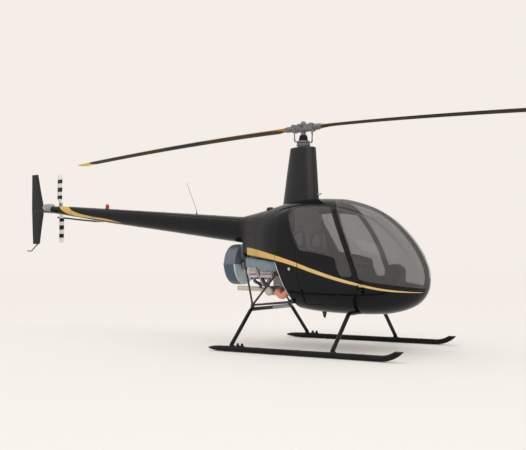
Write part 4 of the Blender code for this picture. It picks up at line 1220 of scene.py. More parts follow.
work = stock()
block(work, (-0.15, -0.05, 2.604), (0.15, 0.05, 2.694), 0.022, 4)
block(work, (-0.062, -0.055, 2.618), (0.062, 0.055, 2.702), 0.014, 3)
for side in (-1, 1):
    block(work, (side * 0.149, -0.055, 2.6), (side * 0.096, 0.055, 2.7), 0.016, 3)
    bar(work, (side * 0.122, -0.0552, HUB_Z), (side * 0.122, 0.0552, HUB_Z), 0.022, edge=0.003)
    for end in (-1, 1):
        bar(work, (side * 0.122, end * 0.05, HUB_Z), (side * 0.122, end * 0.0553, HUB_Z), 0.015, sides=6)
bar(work, (0, -0.085, 2.672), (0, 0.085, 2.672), 0.018, edge=0.002)
for end in (-1, 1):
    bar(work, (0, end * 0.064, 2.672), (0, end * 0.08, 2.672), 0.0205, sides=6)
cap_radii = [(0, 0.04), (0.2, 0.04), (0.25, 0.033), (0.8, 0.028), (1, 0.022)]
turned(work, (0, 0, 2.69), (0, 0, 2.73), cap_radii, 40)
hub = show("teeter_hub", at_blades(work), [forged_grey], "main_rotor", 32)
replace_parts(hub, "rotor_hub")
for side, name in ((1, "front"), (-1, "rear")):
    work = stock()
    path = bent([(side * x, side * y, z) for x, y, z in (
        (0.056, 0.061, 2.474), (0.074, 0.082, 2.476), (0.078, 0.09, 2.628), (0.172, 0.09, 2.64),
    )], 0.012, 6)
    pipe(work, path, 0.0072)
    for z in (2.5, 2.6):
        rod_low, rod_high = (side * 0.0745, side * 0.0825, z - 0.014), (side * 0.0765, side * 0.0865, z + 0.014)
        bar(work, rod_low, rod_high, 0.0098, sides=6)
    bar(work, (side * 0.172, side * 0.096, 2.64), (side * 0.187, side * 0.03, 2.644), 0.011, edge=0.002)
    link = show(f"control_link_{name}", at_blades(work), [forged_grey], "main_rotor")
    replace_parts(link, f"pitch_link_{name}")

# Main blades: bonded metal blades with a steel spar nose, from a grey root forging out to a painted tip.
# Bronze near the hub, they pass through slate, brown and grey to a yellow tip as seen from the side; the slate and
# grey spans are painted reflections of the sky, and the undersides are painted near black as painted shade.
# Each row of a blade: radius, chord and thickness as a share of the chord.
ROTOR_RADIUS, BLADE_CHORD, BLADE_DROOP = 3.835, 0.183, 0.171
BLADE = (
    (0.1503, 0.07, 0.9), (0.165, 0.076, 0.92), (0.225, 0.076, 0.92), (0.24, 0.08, 0.78), (0.27, 0.09, 0.56),
    (0.3, 0.105, 0.42),
    (0.36, 0.15, 0.22), (0.42, BLADE_CHORD, 0.15), (0.9, BLADE_CHORD, 0.13), (3.5, BLADE_CHORD, 0.13),
    (3.79, BLADE_CHORD, 0.13), (3.822, BLADE_CHORD * 0.95, 0.12), (ROTOR_RADIUS, BLADE_CHORD * 0.86, 0.05),
)


def main_blade(side):
    """A blade with its twist and droop, on the front side or the rear."""
    rings = []
    for r in sorted({row[0] for row in BLADE} | set(np.linspace(0.45, 3.75, 44))):
        chord, thick = read_off(BLADE, r)
        part = max(r - 0.2, 0) / (ROTOR_RADIUS - 0.2)
        pitch = math.radians(4 - 6 * part)
        ring = []
        for along, up in wing_section(chord, thick):
            y = along * math.cos(pitch) - up * math.sin(pitch)
            z = along * math.sin(pitch) + up * math.cos(pitch)
            ring.append((side * r, side * y, HUB_Z - BLADE_DROOP * part**1.6 + z))
        rings.append(ring)
    work = stock()
    skin_over(work, rings)
    return at_blades(work)


ROOT_GREY, TIP_YELLOW = (0.2, 0.2, 0.21), (0.86, 0.62, 0.2)
TAN, SLATE_REFLECTION, GREY_REFLECTION = (0.34, 0.21, 0.075), (0.115, 0.14, 0.165), (0.17, 0.165, 0.15)
# The slate and grey spans along both blades are painted reflections of the sky, laid into the blades' colour.
BLADE_PAINTS = {
    "front": (
        (0.275, (0.28, 0.17, 0.055)), (1.3, (0.2, 0.125, 0.05)), (1.5, (0.075, 0.082, 0.08)),
        (2.3, (0.085, 0.08, 0.07)), (2.5, (0.15, 0.095, 0.045)), (3.64, (0.1, 0.072, 0.045)), (3.66, TIP_YELLOW),
    ),
    "rear": (
        (0.275, (0.4, 0.225, 0.065)), (1.42, TAN), (1.52, SLATE_REFLECTION), (2.15, SLATE_REFLECTION), (2.25, (0.3, 0.18, 0.06)),
        (3, (0.26, 0.165, 0.065)), (3.1, GREY_REFLECTION), (3.56, GREY_REFLECTION), (3.6, TIP_YELLOW),
    ),
}
for side, name in ((1, "front"), (-1, "rear")):
    paints = ((0, ROOT_GREY), (0.245, ROOT_GREY), *BLADE_PAINTS[name], (3.9, TIP_YELLOW))
    blade_paint = Finish(f"blade_paint_{name}", (0.12, 0.08, 0.04), 0.62, drift=0.1, patch=2, grain=220, bump=0.04,
                         Specular_IOR_Level=0.05)
    px = blade_paint.axes()[0]
    span = blade_paint.math("ABSOLUTE", px)
    ramp = blade_paint.node("ValToRGB")
    blade_paint.link(blade_paint.map(span, 0, 3.9, 0, 1), ramp.inputs["Fac"])
    for number, (r, colour) in enumerate(paints):
        stop = ramp.color_ramp.elements[number] if number < 2 else ramp.color_ramp.elements.new(r / 3.9)
        stop.position, stop.color = r / 3.9, (*colour, 1)
    facing = blade_paint.node("SeparateXYZ")
    blade_paint.link(blade_paint.node("TexCoord").outputs["Normal"], facing.inputs["Vector"])
    # Faces that look down are painted near black over the blade's colours: painted shade on the underside.
    underside = blade_paint.map(facing.outputs["Z"], -0.9, -0.45, 1, 0)
    past_root, before_tip = blade_paint.map(span, 0.25, 0.28, 0, 1), blade_paint.map(span, 3.58, 3.62, 1, 0)
    between = blade_paint.times(past_root, before_tip)
    painted_underside_shade = blade_paint.times(blade_paint.times(underside, between), 0.86)
    worn = blade_paint.times(blade_paint.noise(14, 5), 0.22)
    blade_paint.colour = blade_paint.mix(worn, ramp.outputs["Color"], (0.05, 0.045, 0.04))
    blade_paint.colour = blade_paint.mix(painted_underside_shade, blade_paint.colour, (0.016, 0.013, 0.009))
    blade_paint.link(blade_paint.colour, blade_paint.shader.inputs["Base Color"])
    blade = show(f"main_blade_{name}", main_blade(side), [blade_paint], "main_rotor", 40)
    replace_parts(blade, f"blade_{name}")
    work, skin = stock(), surface_of(blade.data)[0]
    bolt_spots = [(r, y) for r in (0.335, 0.365, 0.395, 0.425) for y in (0.012, -0.03, -0.062)]
    bolt_spots.remove((0.335, -0.062))
    for r, y in bolt_spots:
        above = Matrix.Rotation(BLADE_YAW, 3, "Z") @ Vector((side * r, side * y, 3))
        rivets(work, [skin.ray_cast(above, Vector((0, 0, -1)))[:2]], 0.005)
    show(f"root_bolts_{name}", work, [steel], "main_rotor", 60)

# Landing gear: two bent steel cross tubes on two steel tube skids, painted black.
# The skids have closed tails, toes bent up on a wide arc, wear shoes underneath and cast saddles for the tubes.
SKID_Y, SKID_R, SKID_Z, TUBE_R = 0.943, 0.031, 0.0335, 0.0225
REAR_LINE = ((-0.434, -SKID_Y, 0.08), (-0.445, -0.504, 0.452), (-0.445, 0.504, 0.452), (-0.434, SKID_Y, 0.08))
TAIL_SHAPE = (
    (-0.744, 0.003), (-0.742, 0.008), (-0.72, 0.015), (-0.68, 0.0225), (-0.62, 0.0285), (-0.56, 0.031),
    (1.33, 0.031),
)
TOE_FROM, TOE_BEND, TOE_TOP = 1.33, 0.309, 0.112
FRONT_LINE = ((0.81, -SKID_Y, 0.08), (0.81, -0.515, 0.44), (0.81, 0.515, 0.44), (0.81, SKID_Y, 0.08))

gear_paint = Finish("gear_paint", (0.005, 0.005, 0.006), 0.24, patch=9, grain=240, Specular_IOR_Level=0.2)
shoe_steel = Finish("shoe_steel", (0.16, 0.155, 0.15), 0.48, 0.8, drift=0.25, patch=26, bump=0.2)
band_grey = Finish("band_grey", (0.34, 0.36, 0.38), 0.36, 0.4, drift=0.12)
for name, line in (("rear", REAR_LINE), ("front", FRONT_LINE)):
    work = stock()
    pipe(work, bent(line, 0.1, 10), TUBE_R, 28)
    for side in (-1, 1):
        low, top = Vector(line[0 if side < 0 else 3]), Vector(line[1 if side < 0 else 2])
        for share in (0.045, 0.075):
            spot = low.lerp(top, share)
            pipe(work, [spot, spot + (top - low).normalized() * 0.006], TUBE_R + 0.0012, 28)
    if name == "rear":
        thin, thick, ends = TUBE_R + 0.0004, TUBE_R + 0.0011, (-0.02, -0.01, 0.4, 0.41)
        pipe(work, [(-0.445, y, 0.452) for y in ends], [thin, thick, thick, thin], 28, paint=1)
    tube = show(f"cross_tube_{name}_smooth", work, [gear_paint, band_grey])
    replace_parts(tube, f"cross_tube_{name}")

for side, name in SIDES:
    work = stock()
    y = side * SKID_Y
    rings = [[(x, y + size * s, SKID_Z - size * c) for c, s in circle(36)] for x, size in TAIL_SHAPE]
    for k in range(1, 17):
        ring = []
        for c, s in circle(36):
            reach = TOE_BEND + SKID_R * c
            swing = math.acos((SKID_Z + TOE_BEND - TOE_TOP) / reach) * k / 16
            toe_z = SKID_Z + TOE_BEND - reach * math.cos(swing)
            ring.append((TOE_FROM + reach * math.sin(swing), y + SKID_R * s, toe_z))
        rings.append(ring)
    skin_over(work, rings)
    block(work, (-0.55, y - 0.012, 0), (1.3, y + 0.012, 0.018), 0.004, paint=1)
    block(work, (-0.38, y - 0.011, 0.05), (-0.272, y + 0.011, 0.074), 0.004)
    for x in (-0.352, -0.294):
        block(work, (x - 0.015, y - 0.005, 0.06), (x + 0.015, y + 0.005, 0.098), 0.003)
        bar(work, (x, y - 0.015, 0.084), (x, y + 0.015, 0.084), 0.007, sides=12)
    for x in (-0.5, -0.1, 0.4, 0.75, 1.15):
        bar(work, (x, y, 0.055), (x, y, 0.0665), 0.0085, sides=6)
    for x in (-0.434, 0.81):
        saddle = [(0, 0.035), (0.55, 0.033), (0.85, 0.0295), (1, 0.026)]
        turned(work, (x, y, 0.03), (x, y * 0.9915, 0.078), saddle, 32)
        for dx in (-0.036, 0.036):
            bar(work, (x + dx, y, 0.05), (x + dx, y, 0.0665), 0.0075, sides=6)
            block(work, (x + dx - 0.013, y - 0.02, 0.04), (x + dx + 0.013, y + 0.02, 0.059), 0.004)
    skid = show(f"skid_{name}_tube", work, [gear_paint, shoe_steel])
    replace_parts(skid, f"skid_{name}")

# Engine bay: a flat four-cylinder engine hung in a steel tube frame, open to the air below the cowling.
# Its case and heads are bare castings, the barrels have thin cooling fins, and sheet shrouds carry air from the fan.
engine_cast = Finish("engine_cast", (0.4, 0.4, 0.39), 0.45, 0.85, drift=0.18, patch=24, grain=500, bump=0.25)
fin_metal = Finish("fin_metal", (0.66, 0.575, 0.57), 0.42, 0.35, drift=0.25, patch=30, grain=400, bump=0.1)
duct_paint = Finish("duct_paint", (0.2, 0.25, 0.29), 0.4, 0.5, patch=14, bump=0.08)
work = stock()
block(work, (-0.698, -0.15, 0.835), (-0.222, 0.15, 1.018), 0.03, 4)
block(work, (-0.69, -0.115, 0.801), (-0.23, 0.115, 0.85), 0.016, 3)
for side in (-1, 1):
    for x in evenly(-0.665, -0.255, 9):
        bar(work, (x, side * 0.1485, 0.985), (x, side * 0.1565, 0.985), 0.008, sides=6)
    for x in evenly(-0.66, -0.26, 7):
        block(work, (x - 0.004, side * 0.118, 0.84), (x + 0.004, side * 0.151, 0.965), 0.002)
for x in evenly(-0.67, -0.25, 8):
    bar(work, (x, -0.1, 0.8005), (x, -0.1, 0.806), 0.007, sides=6)
case = show("engine_case", work, [engine_cast])
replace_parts(case, "engine_block")
CYLINDER_Z, DUCT = 0.9, 3
for side, name in SIDES:
    work = stock()
    for x in (-0.5, -0.3):
        bar(work, (x, side * 0.1605, CYLINDER_Z), (x, side * 0.38, CYLINDER_Z), 0.062, sides=40)
        for k, y in enumerate(evenly(side * 0.192, side * 0.364, 17)):
            size = 0.086 if k > 3 else 0.08
            turned(work, (x, y - 0.0013, CYLINDER_Z), (x, y + 0.0013, CYLINDER_Z), [(0, size), (1, size)], 40)
        rear, front = (x - 0.04 if x < -0.4 else x - 0.08), x + 0.08
        for k in range(8):
            y, top = side * (0.35 + 0.0072 * k), 0.975 - 0.004 * (k % 2)
            block(work, (rear, y, 0.826), (front, y + side * 0.003, top), 0.001, 1)
        block(work, (rear + 0.01, side * 0.345, 0.836), (front - 0.01, side * 0.402, 0.964), 0.008, 3, paint=1)
        block(work, (rear + 0.006, side * 0.4, 0.9), (front - 0.004, side * 0.4195, 0.962), 0.01, 4, paint=2)
        for k, z in enumerate((0.842, 0.861, 0.88)):
            tube = [(rear + 0.008, side * 0.409, z), (front - 0.01, side * 0.409, z + 0.004)]
            pipe(work, tube, 0.0075, 14, paint=DUCT if k % 2 else 0)
        for nut_x, z in ((rear + 0.006, 0.885), (front - 0.006, 0.885), (rear + 0.004, 0.968), (front - 0.004, 0.968)):
            bar(work, (nut_x, side * 0.4, z), (nut_x, side * 0.411, z), 0.0065, sides=6, paint=1)
        port_x, port_y = x + 0.02, side * 0.372
        riser = [(port_x, port_y, 0.838), (port_x, port_y, 0.775), (-0.345, side * 0.27, 0.715)]
        pipe(work, bent(riser, 0.06, 6), 0.019, 20, paint=DUCT)
        bar(work, (port_x, port_y, 0.828), (port_x, port_y, 0.819), 0.029, sides=6, paint=1)
        for dz in (-0.04, 0.04):
            rod_low, rod_high = CYLINDER_Z + dz * 1.9, CYLINDER_Z + dz * 1.8
            pipe(work, [(x - 0.045, side * 0.165, rod_low), (x - 0.045, port_y, rod_high)], 0.007, 10, paint=1)
    block(work, (-0.588, side * 0.161, 0.86), (-0.212, side * 0.185, 0.943), 0.004, paint=1)
    bank_looks = [fin_metal, engine_cast, cast_grey, duct_paint]
    bank = show(f"cylinder_bank_{name}", work, bank_looks)
    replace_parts(bank, f"cylinders_{name}")
    work = stock()
    for x, end_x in ((-0.5, -0.47), (-0.3, -0.34)):
        plug_x, plug_y = x + 0.03, side * 0.352
        bar(work, (plug_x, plug_y, 0.955), (plug_x, plug_y, 0.98), 0.009, sides=6)
        over = [
            (plug_x, plug_y, 0.978), (plug_x, plug_y, 0.992), (end_x, side * 0.25, 0.998), (end_x, side * 0.155, 1),
        ]
        under = [
            (x - 0.04, side * 0.36, 0.845), (x - 0.04, side * 0.35, 0.815), (-0.34, side * 0.24, 0.8),
            (-0.335, side * 0.14, 0.79),
        ]
        for lead in (over, under):
            pipe(work, bent(lead, 0.03, 6), 0.0042, 10)
    show(f"ignition_leads_{name}", work, [rubber])

shroud_paint = Finish("shroud_paint", (0.195, 0.25, 0.29), 0.38, 0.35, drift=0.3, patch=16, grain=260)
PANEL_SIDE = ((-0.56, 0.954), (-0.564, 1.056), (-0.16, 1.006), (-0.135, 0.899), (-0.337, 0.89), (-0.419, 0.949))
panel_edge = soft_outline(PANEL_SIDE, 0.012, 3)
work = stock()
sheet(work, panel_edge, -0.4205, -0.4305)
sheet(work, inset(panel_edge, 0.01), -0.43, -0.4345)
panel_middle = Vector((-0.36, 0, 0.98))
for a, b in zip(PANEL_SIDE, PANEL_SIDE[1:] + PANEL_SIDE[:1]):
    count = max(int(math.dist(a, b) / 0.045), 1)
    for k in range(count):
        share = (k + 0.5) / count
        spot = Vector((a[0] + (b[0] - a[0]) * share, 0, a[1] + (b[1] - a[1]) * share))
        spot = spot.lerp(panel_middle, 0.018 / (spot - panel_middle).length)
        rivets(work, [((spot.x, -0.4345, spot.z), (0, -1, 0))], 0.0034)
flange = ((-0.56, 1.05), (-0.562, 1.0585), (-0.16, 1.0085), (-0.16, 1.002))
sheet(work, flange, -0.421, -0.165)
panel = show("air_shroud", work, [shroud_paint])
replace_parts(panel, "cooling_panel_right")

# Oil cooler: rows of flat tubes between thin folded fins, brazed to two end tanks and bolted to the firewall; two
# rubber hoses run to the engine case. A dark heat strap and a pressed baffle stand beside the front cylinder.
work = stock()
for x in (-0.205, -0.087):
    block(work, (x, -0.4, 0.728), (x + 0.014, -0.318, 0.848), 0.005)
for z in evenly(0.734, 0.839, 7):
    block(work, (-0.193, -0.396, z), (-0.085, -0.322, z + 0.0035), 0.001, 1)
for x in evenly(-0.1885, -0.0885, 22):
    block(work, (x - 0.0006, -0.393, 0.731), (x + 0.0006, -0.325, 0.845), 0, paint=1)
for z, end in ((0.742, -0.026), (0.834, -0.064)):
    block(work, (-0.086, -0.385, z - 0.011), (end, -0.38, z + 0.011), 0.001, paint=2)
    for x in (-0.08, end - 0.01):
        bar(work, (x, -0.3855, z), (x, -0.3905, z), 0.0055, sides=6, paint=2)
for z, up in ((0.748, 0.846), (0.826, 0.905)):
    oil_line = [(-0.198, -0.318, z), (-0.198, -0.285, z), (-0.215, -0.23, up), (-0.235, -0.1505, up)]
    pipe(work, bent(oil_line, 0.03, 6), 0.0085, 12, paint=3)
show("oil_cooler", work, [cast_grey, fin_metal, steel, rubber])
work = stock()
block(work, (-0.512, -0.392, 0.768), (-0.388, -0.348, 0.782), 0.004, turn=(math.radians(41), "Y"))
block(work, (-0.524, -0.38, 0.8), (-0.49, -0.36, 0.838), 0.004)
block(work, (-0.408, -0.38, 0.7), (-0.376, -0.36, 0.745), 0.004)
for x, z in ((-0.478, 0.8), (-0.42, 0.748)):
    bar(work, (x, -0.3915, z), (x, -0.3985, z), 0.008, sides=6, paint=1)
show("heat_strap", work, [black_metal, steel])
work = stock()
baffle = ((-0.432, 0.9), (-0.418, 0.9), (-0.352, 0.77), (-0.334, 0.742), (-0.346, 0.734), (-0.368, 0.762))
sheet(work, baffle, -0.405, -0.398)
baffle_lip = ((-0.432, 0.9), (-0.428, 0.9), (-0.342, 0.736), (-0.346, 0.734))
sheet(work, baffle_lip, -0.4, -0.3)
show("cylinder_baffle", work, [cast_grey])

# Fan housing: a moulded scroll round the cooling fan, slate above and dark blue below, with a bare front flange.
# It is bolted to the back of the engine, and the fan inside it turns on the drive shaft that runs to the boom.
SCROLL_X, SCROLL_Z = -0.92, 0.985
face_paint = Finish("face_paint", (0.62, 0.72, 0.76), 0.42, 0.2, drift=0.15, patch=9, grain=240, bump=0.06)
face_z = face_paint.axes()[2]
face_paint.over(face_paint.below(0.985, face_z, 0.004), (0.145, 0.175, 0.205))
scroll_paint = Finish("scroll_paint", (0.125, 0.15, 0.19), 0.4, 0.1, drift=0.12, patch=7, grain=240, bump=0.06)
scroll_z = scroll_paint.axes()[2]
scroll_paint.over(scroll_paint.below(scroll_z, 0.985, 0.004), (0.052, 0.085, 0.125))


def scroll_rings(profile):
    """Rings round the fan's axis; profile holds the radius and the place along the axis of each."""
    spots = circle(96)
    return [[(SCROLL_X + along, radius * s, SCROLL_Z + radius * c) for c, s in spots] for radius, along in profile]


work = stock()
rings = scroll_rings((
    (0.075, -0.085), (0.236, -0.085), (0.243, -0.083), (0.25, -0.076), (0.254, -0.064), (0.2555, -0.05),
    (0.2555, 0.05), (0.254, 0.062), (0.246, 0.075), (0.238, 0.082), (0.23, 0.085), (0.18, 0.084), (0.15, 0.07),
    (0.12, 0.066), (0.075, 0.066),
))
skin_over(work, rings[:10], caps=False)
skin_over(work, rings[9:] + rings[:1], paint=2, caps=False)
duct = ((-0.838, 1.085), (-0.838, 1.23), (-0.77, 1.23), (-0.767, 1.078), (-0.8, 1.034))
sheet(work, soft_outline(duct, 0.012, 3), -0.118, 0.118)
skin_over(work, scroll_rings((
    (0.238, 0.083), (0.246, 0.0848), (0.252, 0.08), (0.2555, 0.072), (0.25, 0.07), (0.24, 0.076),
)), paint=2, around=True)
for z, y in circle(24):
    out = Vector((0, y, z))
    for along in (-0.055, 0.055):
        rivets(work, [(Vector((SCROLL_X + along, 0, SCROLL_Z)) + out * 0.2555, out)], 0.0036, paint=1)
scroll_looks = [scroll_paint, band_grey, face_paint]
scroll = show("fan_housing", work, scroll_looks, angle=32)
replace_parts(scroll, "fan_scroll")
work = stock()
shaft_radii = [(0, 0.02), (0.006, 0.022), (0.994, 0.022), (1, 0.02)]
turned(work, (-1.16, 0, SCROLL_Z), (-0.7003, 0, SCROLL_Z), shaft_radii, 32)
turned(work, (-1.03, 0, SCROLL_Z), (-0.83, 0, SCROLL_Z), [
    (0, 0.03), (0.05, 0.045), (0.35, 0.07), (0.4, 0.0743), (0.9, 0.0743), (0.92, 0.06), (1, 0.055),
], 48)
for y, z in circle(12):
    out, side_on, root = Vector((0, y, z)), Vector((0, -z, y)), Vector((-0.99, 0, SCROLL_Z))
    middle = root + out * 0.045
    vane = [middle - out * 0.016 - Vector((0.022, 0, 0)), middle + side_on * 0.004]
    pipe(work, vane + [middle + out * 0.018 + Vector((0.012, 0, 0))], 0.0032, 8)
for y, z in circle(6):
    y, z = 0.03 * y, SCROLL_Z + 0.03 * z
    bar(work, (-1.134, y, z), (-1.12, y, z), 0.005, sides=6)
turned(work, (-1.122, 0, SCROLL_Z), (-1.112, 0, SCROLL_Z), [(0, 0.04), (1, 0.04)], 32)
fan = show("fan_and_shaft", work, [steel])
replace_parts(fan, "fan_shaft")

# Exhaust: a round steel silencer slung across under the cylinders, with one bent tailpipe.
# It hangs on two risers from the engine's case, and four strap bands hold its heat shields.
exhaust_steel = Finish("exhaust_steel", (0.62, 0.58, 0.52), 0.42, 0.55, drift=0.25, patch=12, bump=0.12)
work = stock()
turned(work, (-0.33, -0.3, 0.665), (-0.33, 0.3, 0.665), [
    (0, 0.042), (0.012, 0.05), (0.03, 0.0555), (0.045, 0.056), (0.955, 0.056), (0.97, 0.0555), (0.988, 0.05),
    (1, 0.042),
], 48)
strap_radii = [(0, 0.0562), (0.1, 0.0578), (0.9, 0.0578), (1, 0.0562)]
for y in (-0.27, -0.15, 0.15, 0.27):
    turned(work, (-0.33, y - 0.009, 0.665), (-0.33, y + 0.009, 0.665), strap_radii, 48, paint=1)
tail_line = bent(((-0.35, -0.22, 0.665), (-0.5, -0.22, 0.683), (-0.784, -0.22, 0.69)), 0.15, 8)
pipe(work, tail_line, 0.028, 28)
end = tail_line[-1]
turned(work, end - Vector((0.012, 0, 0)), end, [(0, 0.0285), (0.5, 0.029), (1, 0.0285)], 28, paint=1)
for y in (-0.09, 0.09):
    bar(work, (-0.33, y, 0.68), (-0.33, y, 0.799), 0.022, edge=0.001)
    bar(work, (-0.33, y, 0.786), (-0.33, y, 0.7985), 0.029, paint=1)
silencer = show("silencer", work, [exhaust_steel, steel])
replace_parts(silencer, "muffler")

# Air intake: a spun alloy air box under the engine, bolted up to the carburettor's elbow.
# A red ribbed hose, clamped at both ends, feeds it from the firewall.
HOSE_LINE = (
    (0.03, -0.34, 0.735), (-0.06, -0.345, 0.64), (-0.12, -0.34, 0.6), (-0.19, -0.33, 0.655),
    (-0.19, -0.2203, 0.665),
)
work = stock()
turned(work, (-0.19, -0.214, 0.665), (-0.19, -0.05, 0.665), [
    (0, 0.05), (0.02, 0.058), (0.05, 0.067), (0.08, 0.0695), (0.4, 0.0695), (0.42, 0.066), (0.48, 0.066),
    (0.5, 0.0695), (0.93, 0.0695), (0.97, 0.067), (1, 0.06),
], 56)
bar(work, (-0.19, -0.2195, 0.665), (-0.19, -0.212, 0.665), 0.042, sides=40)
bar(work, (-0.236, -0.12, 0.66), (-0.236, -0.12, 0.7995), 0.026, edge=0.002)
block(work, (-0.272, -0.155, 0.742), (-0.205, -0.088, 0.778), 0.008, 3)
for x, y in circle(4, math.pi / 4):
    x, y = -0.236 + 0.034 * x, -0.12 + 0.034 * y
    bar(work, (x, y, 0.776), (x, y, 0.786), 0.0055, sides=6)
air_box = show("air_box", work, [cast_grey])
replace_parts(air_box, "carb_airbox")
hose_red = Finish("hose_red", (0.88, 0.36, 0.285), 0.6, drift=0.22, patch=26, grain=500, bump=0.2)
work = stock()
path = bent(HOSE_LINE, 0.1, 6)
length = [0]
for a, b in zip(path, path[1:]):
    length.append(length[-1] + (b - a).length)
ribbed, radii = [], []
steps = 150
for k in range(steps + 1):
    at = length[-1] * k / steps
    n = min(max(int(np.searchsorted(length, at)), 1), len(path) - 1)
    share = (at - length[n - 1]) / max(length[n] - length[n - 1], 1e-9)
    ribbed.append(path[n - 1].lerp(path[n], share))
    radii.append(0.0375 + 0.0022 * math.cos(2 * math.pi * at / 0.0125))
first = next(k for k, p in enumerate(ribbed) if p.x < 0.07 - 0.417 * (p.z - 0.55) - 0.022)
pipe(work, ribbed[first:], radii[first:], 32)
for k in (first + 3, steps - 4):
    here, onward = ribbed[k], (ribbed[k + 1] - ribbed[k - 1]).normalized()
    pipe(work, [here - onward * 0.006, here + onward * 0.006], 0.0396, 32, paint=1)
    bar(work, here + Vector((0, -0.02, 0.034)), here + Vector((0, 0, 0.038)), 0.0035, sides=8, paint=1)
hose = show("intake_hose", work, [hose_red, bare_metal])
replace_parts(hose, "air_hose")

# Tube frame: welded steel tubes that carry the engine and the rear cross tube, in satin black.
# On each side a leg, a stay and a brace meet at one joint over the cross tube, with a saddle under it.
JOINT = (-0.445, -0.47, 0.5)
REAR_LEG = (JOINT, (-0.722, -0.222, 1.087), (-0.728, -0.17, 1.19))
work = stock()
for side in (1, -1):
    def across(*points):
        return [(x, y * side, z) for x, y, z in points]

    pipe(work, [point for point in bent(across(*REAR_LEG), 0.05, 8) if point.z < 1.11], 0.012, 20)
    pipe(work, across(JOINT, (-0.062, -0.47, 0.935)), 0.012, 20)
    pipe(work, across(JOINT, (0.068, -0.4337, 0.5433)), 0.012, 20)
    bead(work, across(JOINT)[0], (0.0215, 0.0215, 0.0215), 24)
    pipe(work, across((-0.275, -0.47, 0.69), (-0.391, -0.1635, 0.8295)), 0.0115, 20, paint=1)
    block(work, *across((-0.466, -0.488, 0.468), (-0.424, -0.452, 0.486)), 0.003)
    block(work, *across((0.046, -0.447, 0.528), (0.086, -0.384, 0.56)), 0.004)
    for onward in ((0.38, 0, 0.437), (-0.277, 0.248, 0.587)):
        start, way = map(Vector, across(JOINT, onward))
        way.normalize()
        pipe(work, [start + way * reach for reach in (0.02, 0.027, 0.034)], [0.0135, 0.0142, 0.0128], 20)
pipe(work, (JOINT, (-0.445, 0.47, 0.5)), 0.012, 20)
tubes = show("engine_frame", work, [black_metal, steel])
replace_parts(tubes, "frame_tubes")

# Seats: foam pads under black woven cloth on a sheet-metal base, piped round the seam and sewn in channels.
# A grey vinyl pad is fixed to the firewall above each back, and lap and shoulder belts of grey webbing lie over them.
BACK_X, BASE_TOP, SEAT_ASIDE = 0.0612, 0.7003, 0.2275
seat_cloth = Finish("seat_cloth", (0.03, 0.03, 0.034), 0.82, drift=0.3, patch=16, grain=1300, bump=0.45,
                    Sheen_Weight=0.25)
seat_cloth.over(seat_cloth.map(seat_cloth.noise(1500, 1), 0.5, 0.62, 0, 0.55), (0.045, 0.046, 0.052))
grey_vinyl = Finish("grey_vinyl", (0.33, 0.34, 0.36), 0.5, drift=0.1, patch=9, grain=620, bump=0.3)
webbing = Finish("webbing", (0.085, 0.088, 0.095), 0.72, drift=0.15, patch=30, grain=1500, bump=0.4)


def stuffed(mesh, held, cap):
    """The cover's mesh after its filling has swollen it; what rests on something is held, none moves past cap."""
    pad = shown("pad", mesh)
    even = pad.modifiers.new("even", "REMESH")
    even.mode, even.voxel_size = "VOXEL", 0.008
    cover = worked(pad)
    bpy.data.objects.remove(pad)
    before = np.array([vertex.co for vertex in cover.vertices])
    pad = shown("pad", cover)
    rests = pad.vertex_groups.new(name="rests")
    rests.add([i for i, vertex in enumerate(cover.vertices) if held(vertex.co)], 1, "REPLACE")
    cloth = pad.modifiers.new("filling", "CLOTH")
    cloth.settings.use_pressure = True
    cloth.settings.uniform_pressure_force = 4
    cloth.settings.effector_weights.gravity = 0
    cloth.settings.vertex_group_mass = "rests"
    cloth.collision_settings.use_collision = False
    for step in range(1, 21):
        bpy.context.scene.frame_set(step)
    after = np.array([vertex.co for vertex in worked(pad).vertices])
    pad.modifiers.remove(cloth)
    bpy.context.scene.frame_set(1)
    shift = after - before
    far = np.linalg.norm(shift, axis=1, keepdims=True)
    after = before + shift * np.minimum(1, cap / np.maximum(far, 1e-9))
    cover.vertices.foreach_set("co", after.ravel())
    pad.modifiers.new("finer", "SUBSURF").levels = 1
    fine = worked(pad)
    bpy.data.objects.remove(pad)
    return fine


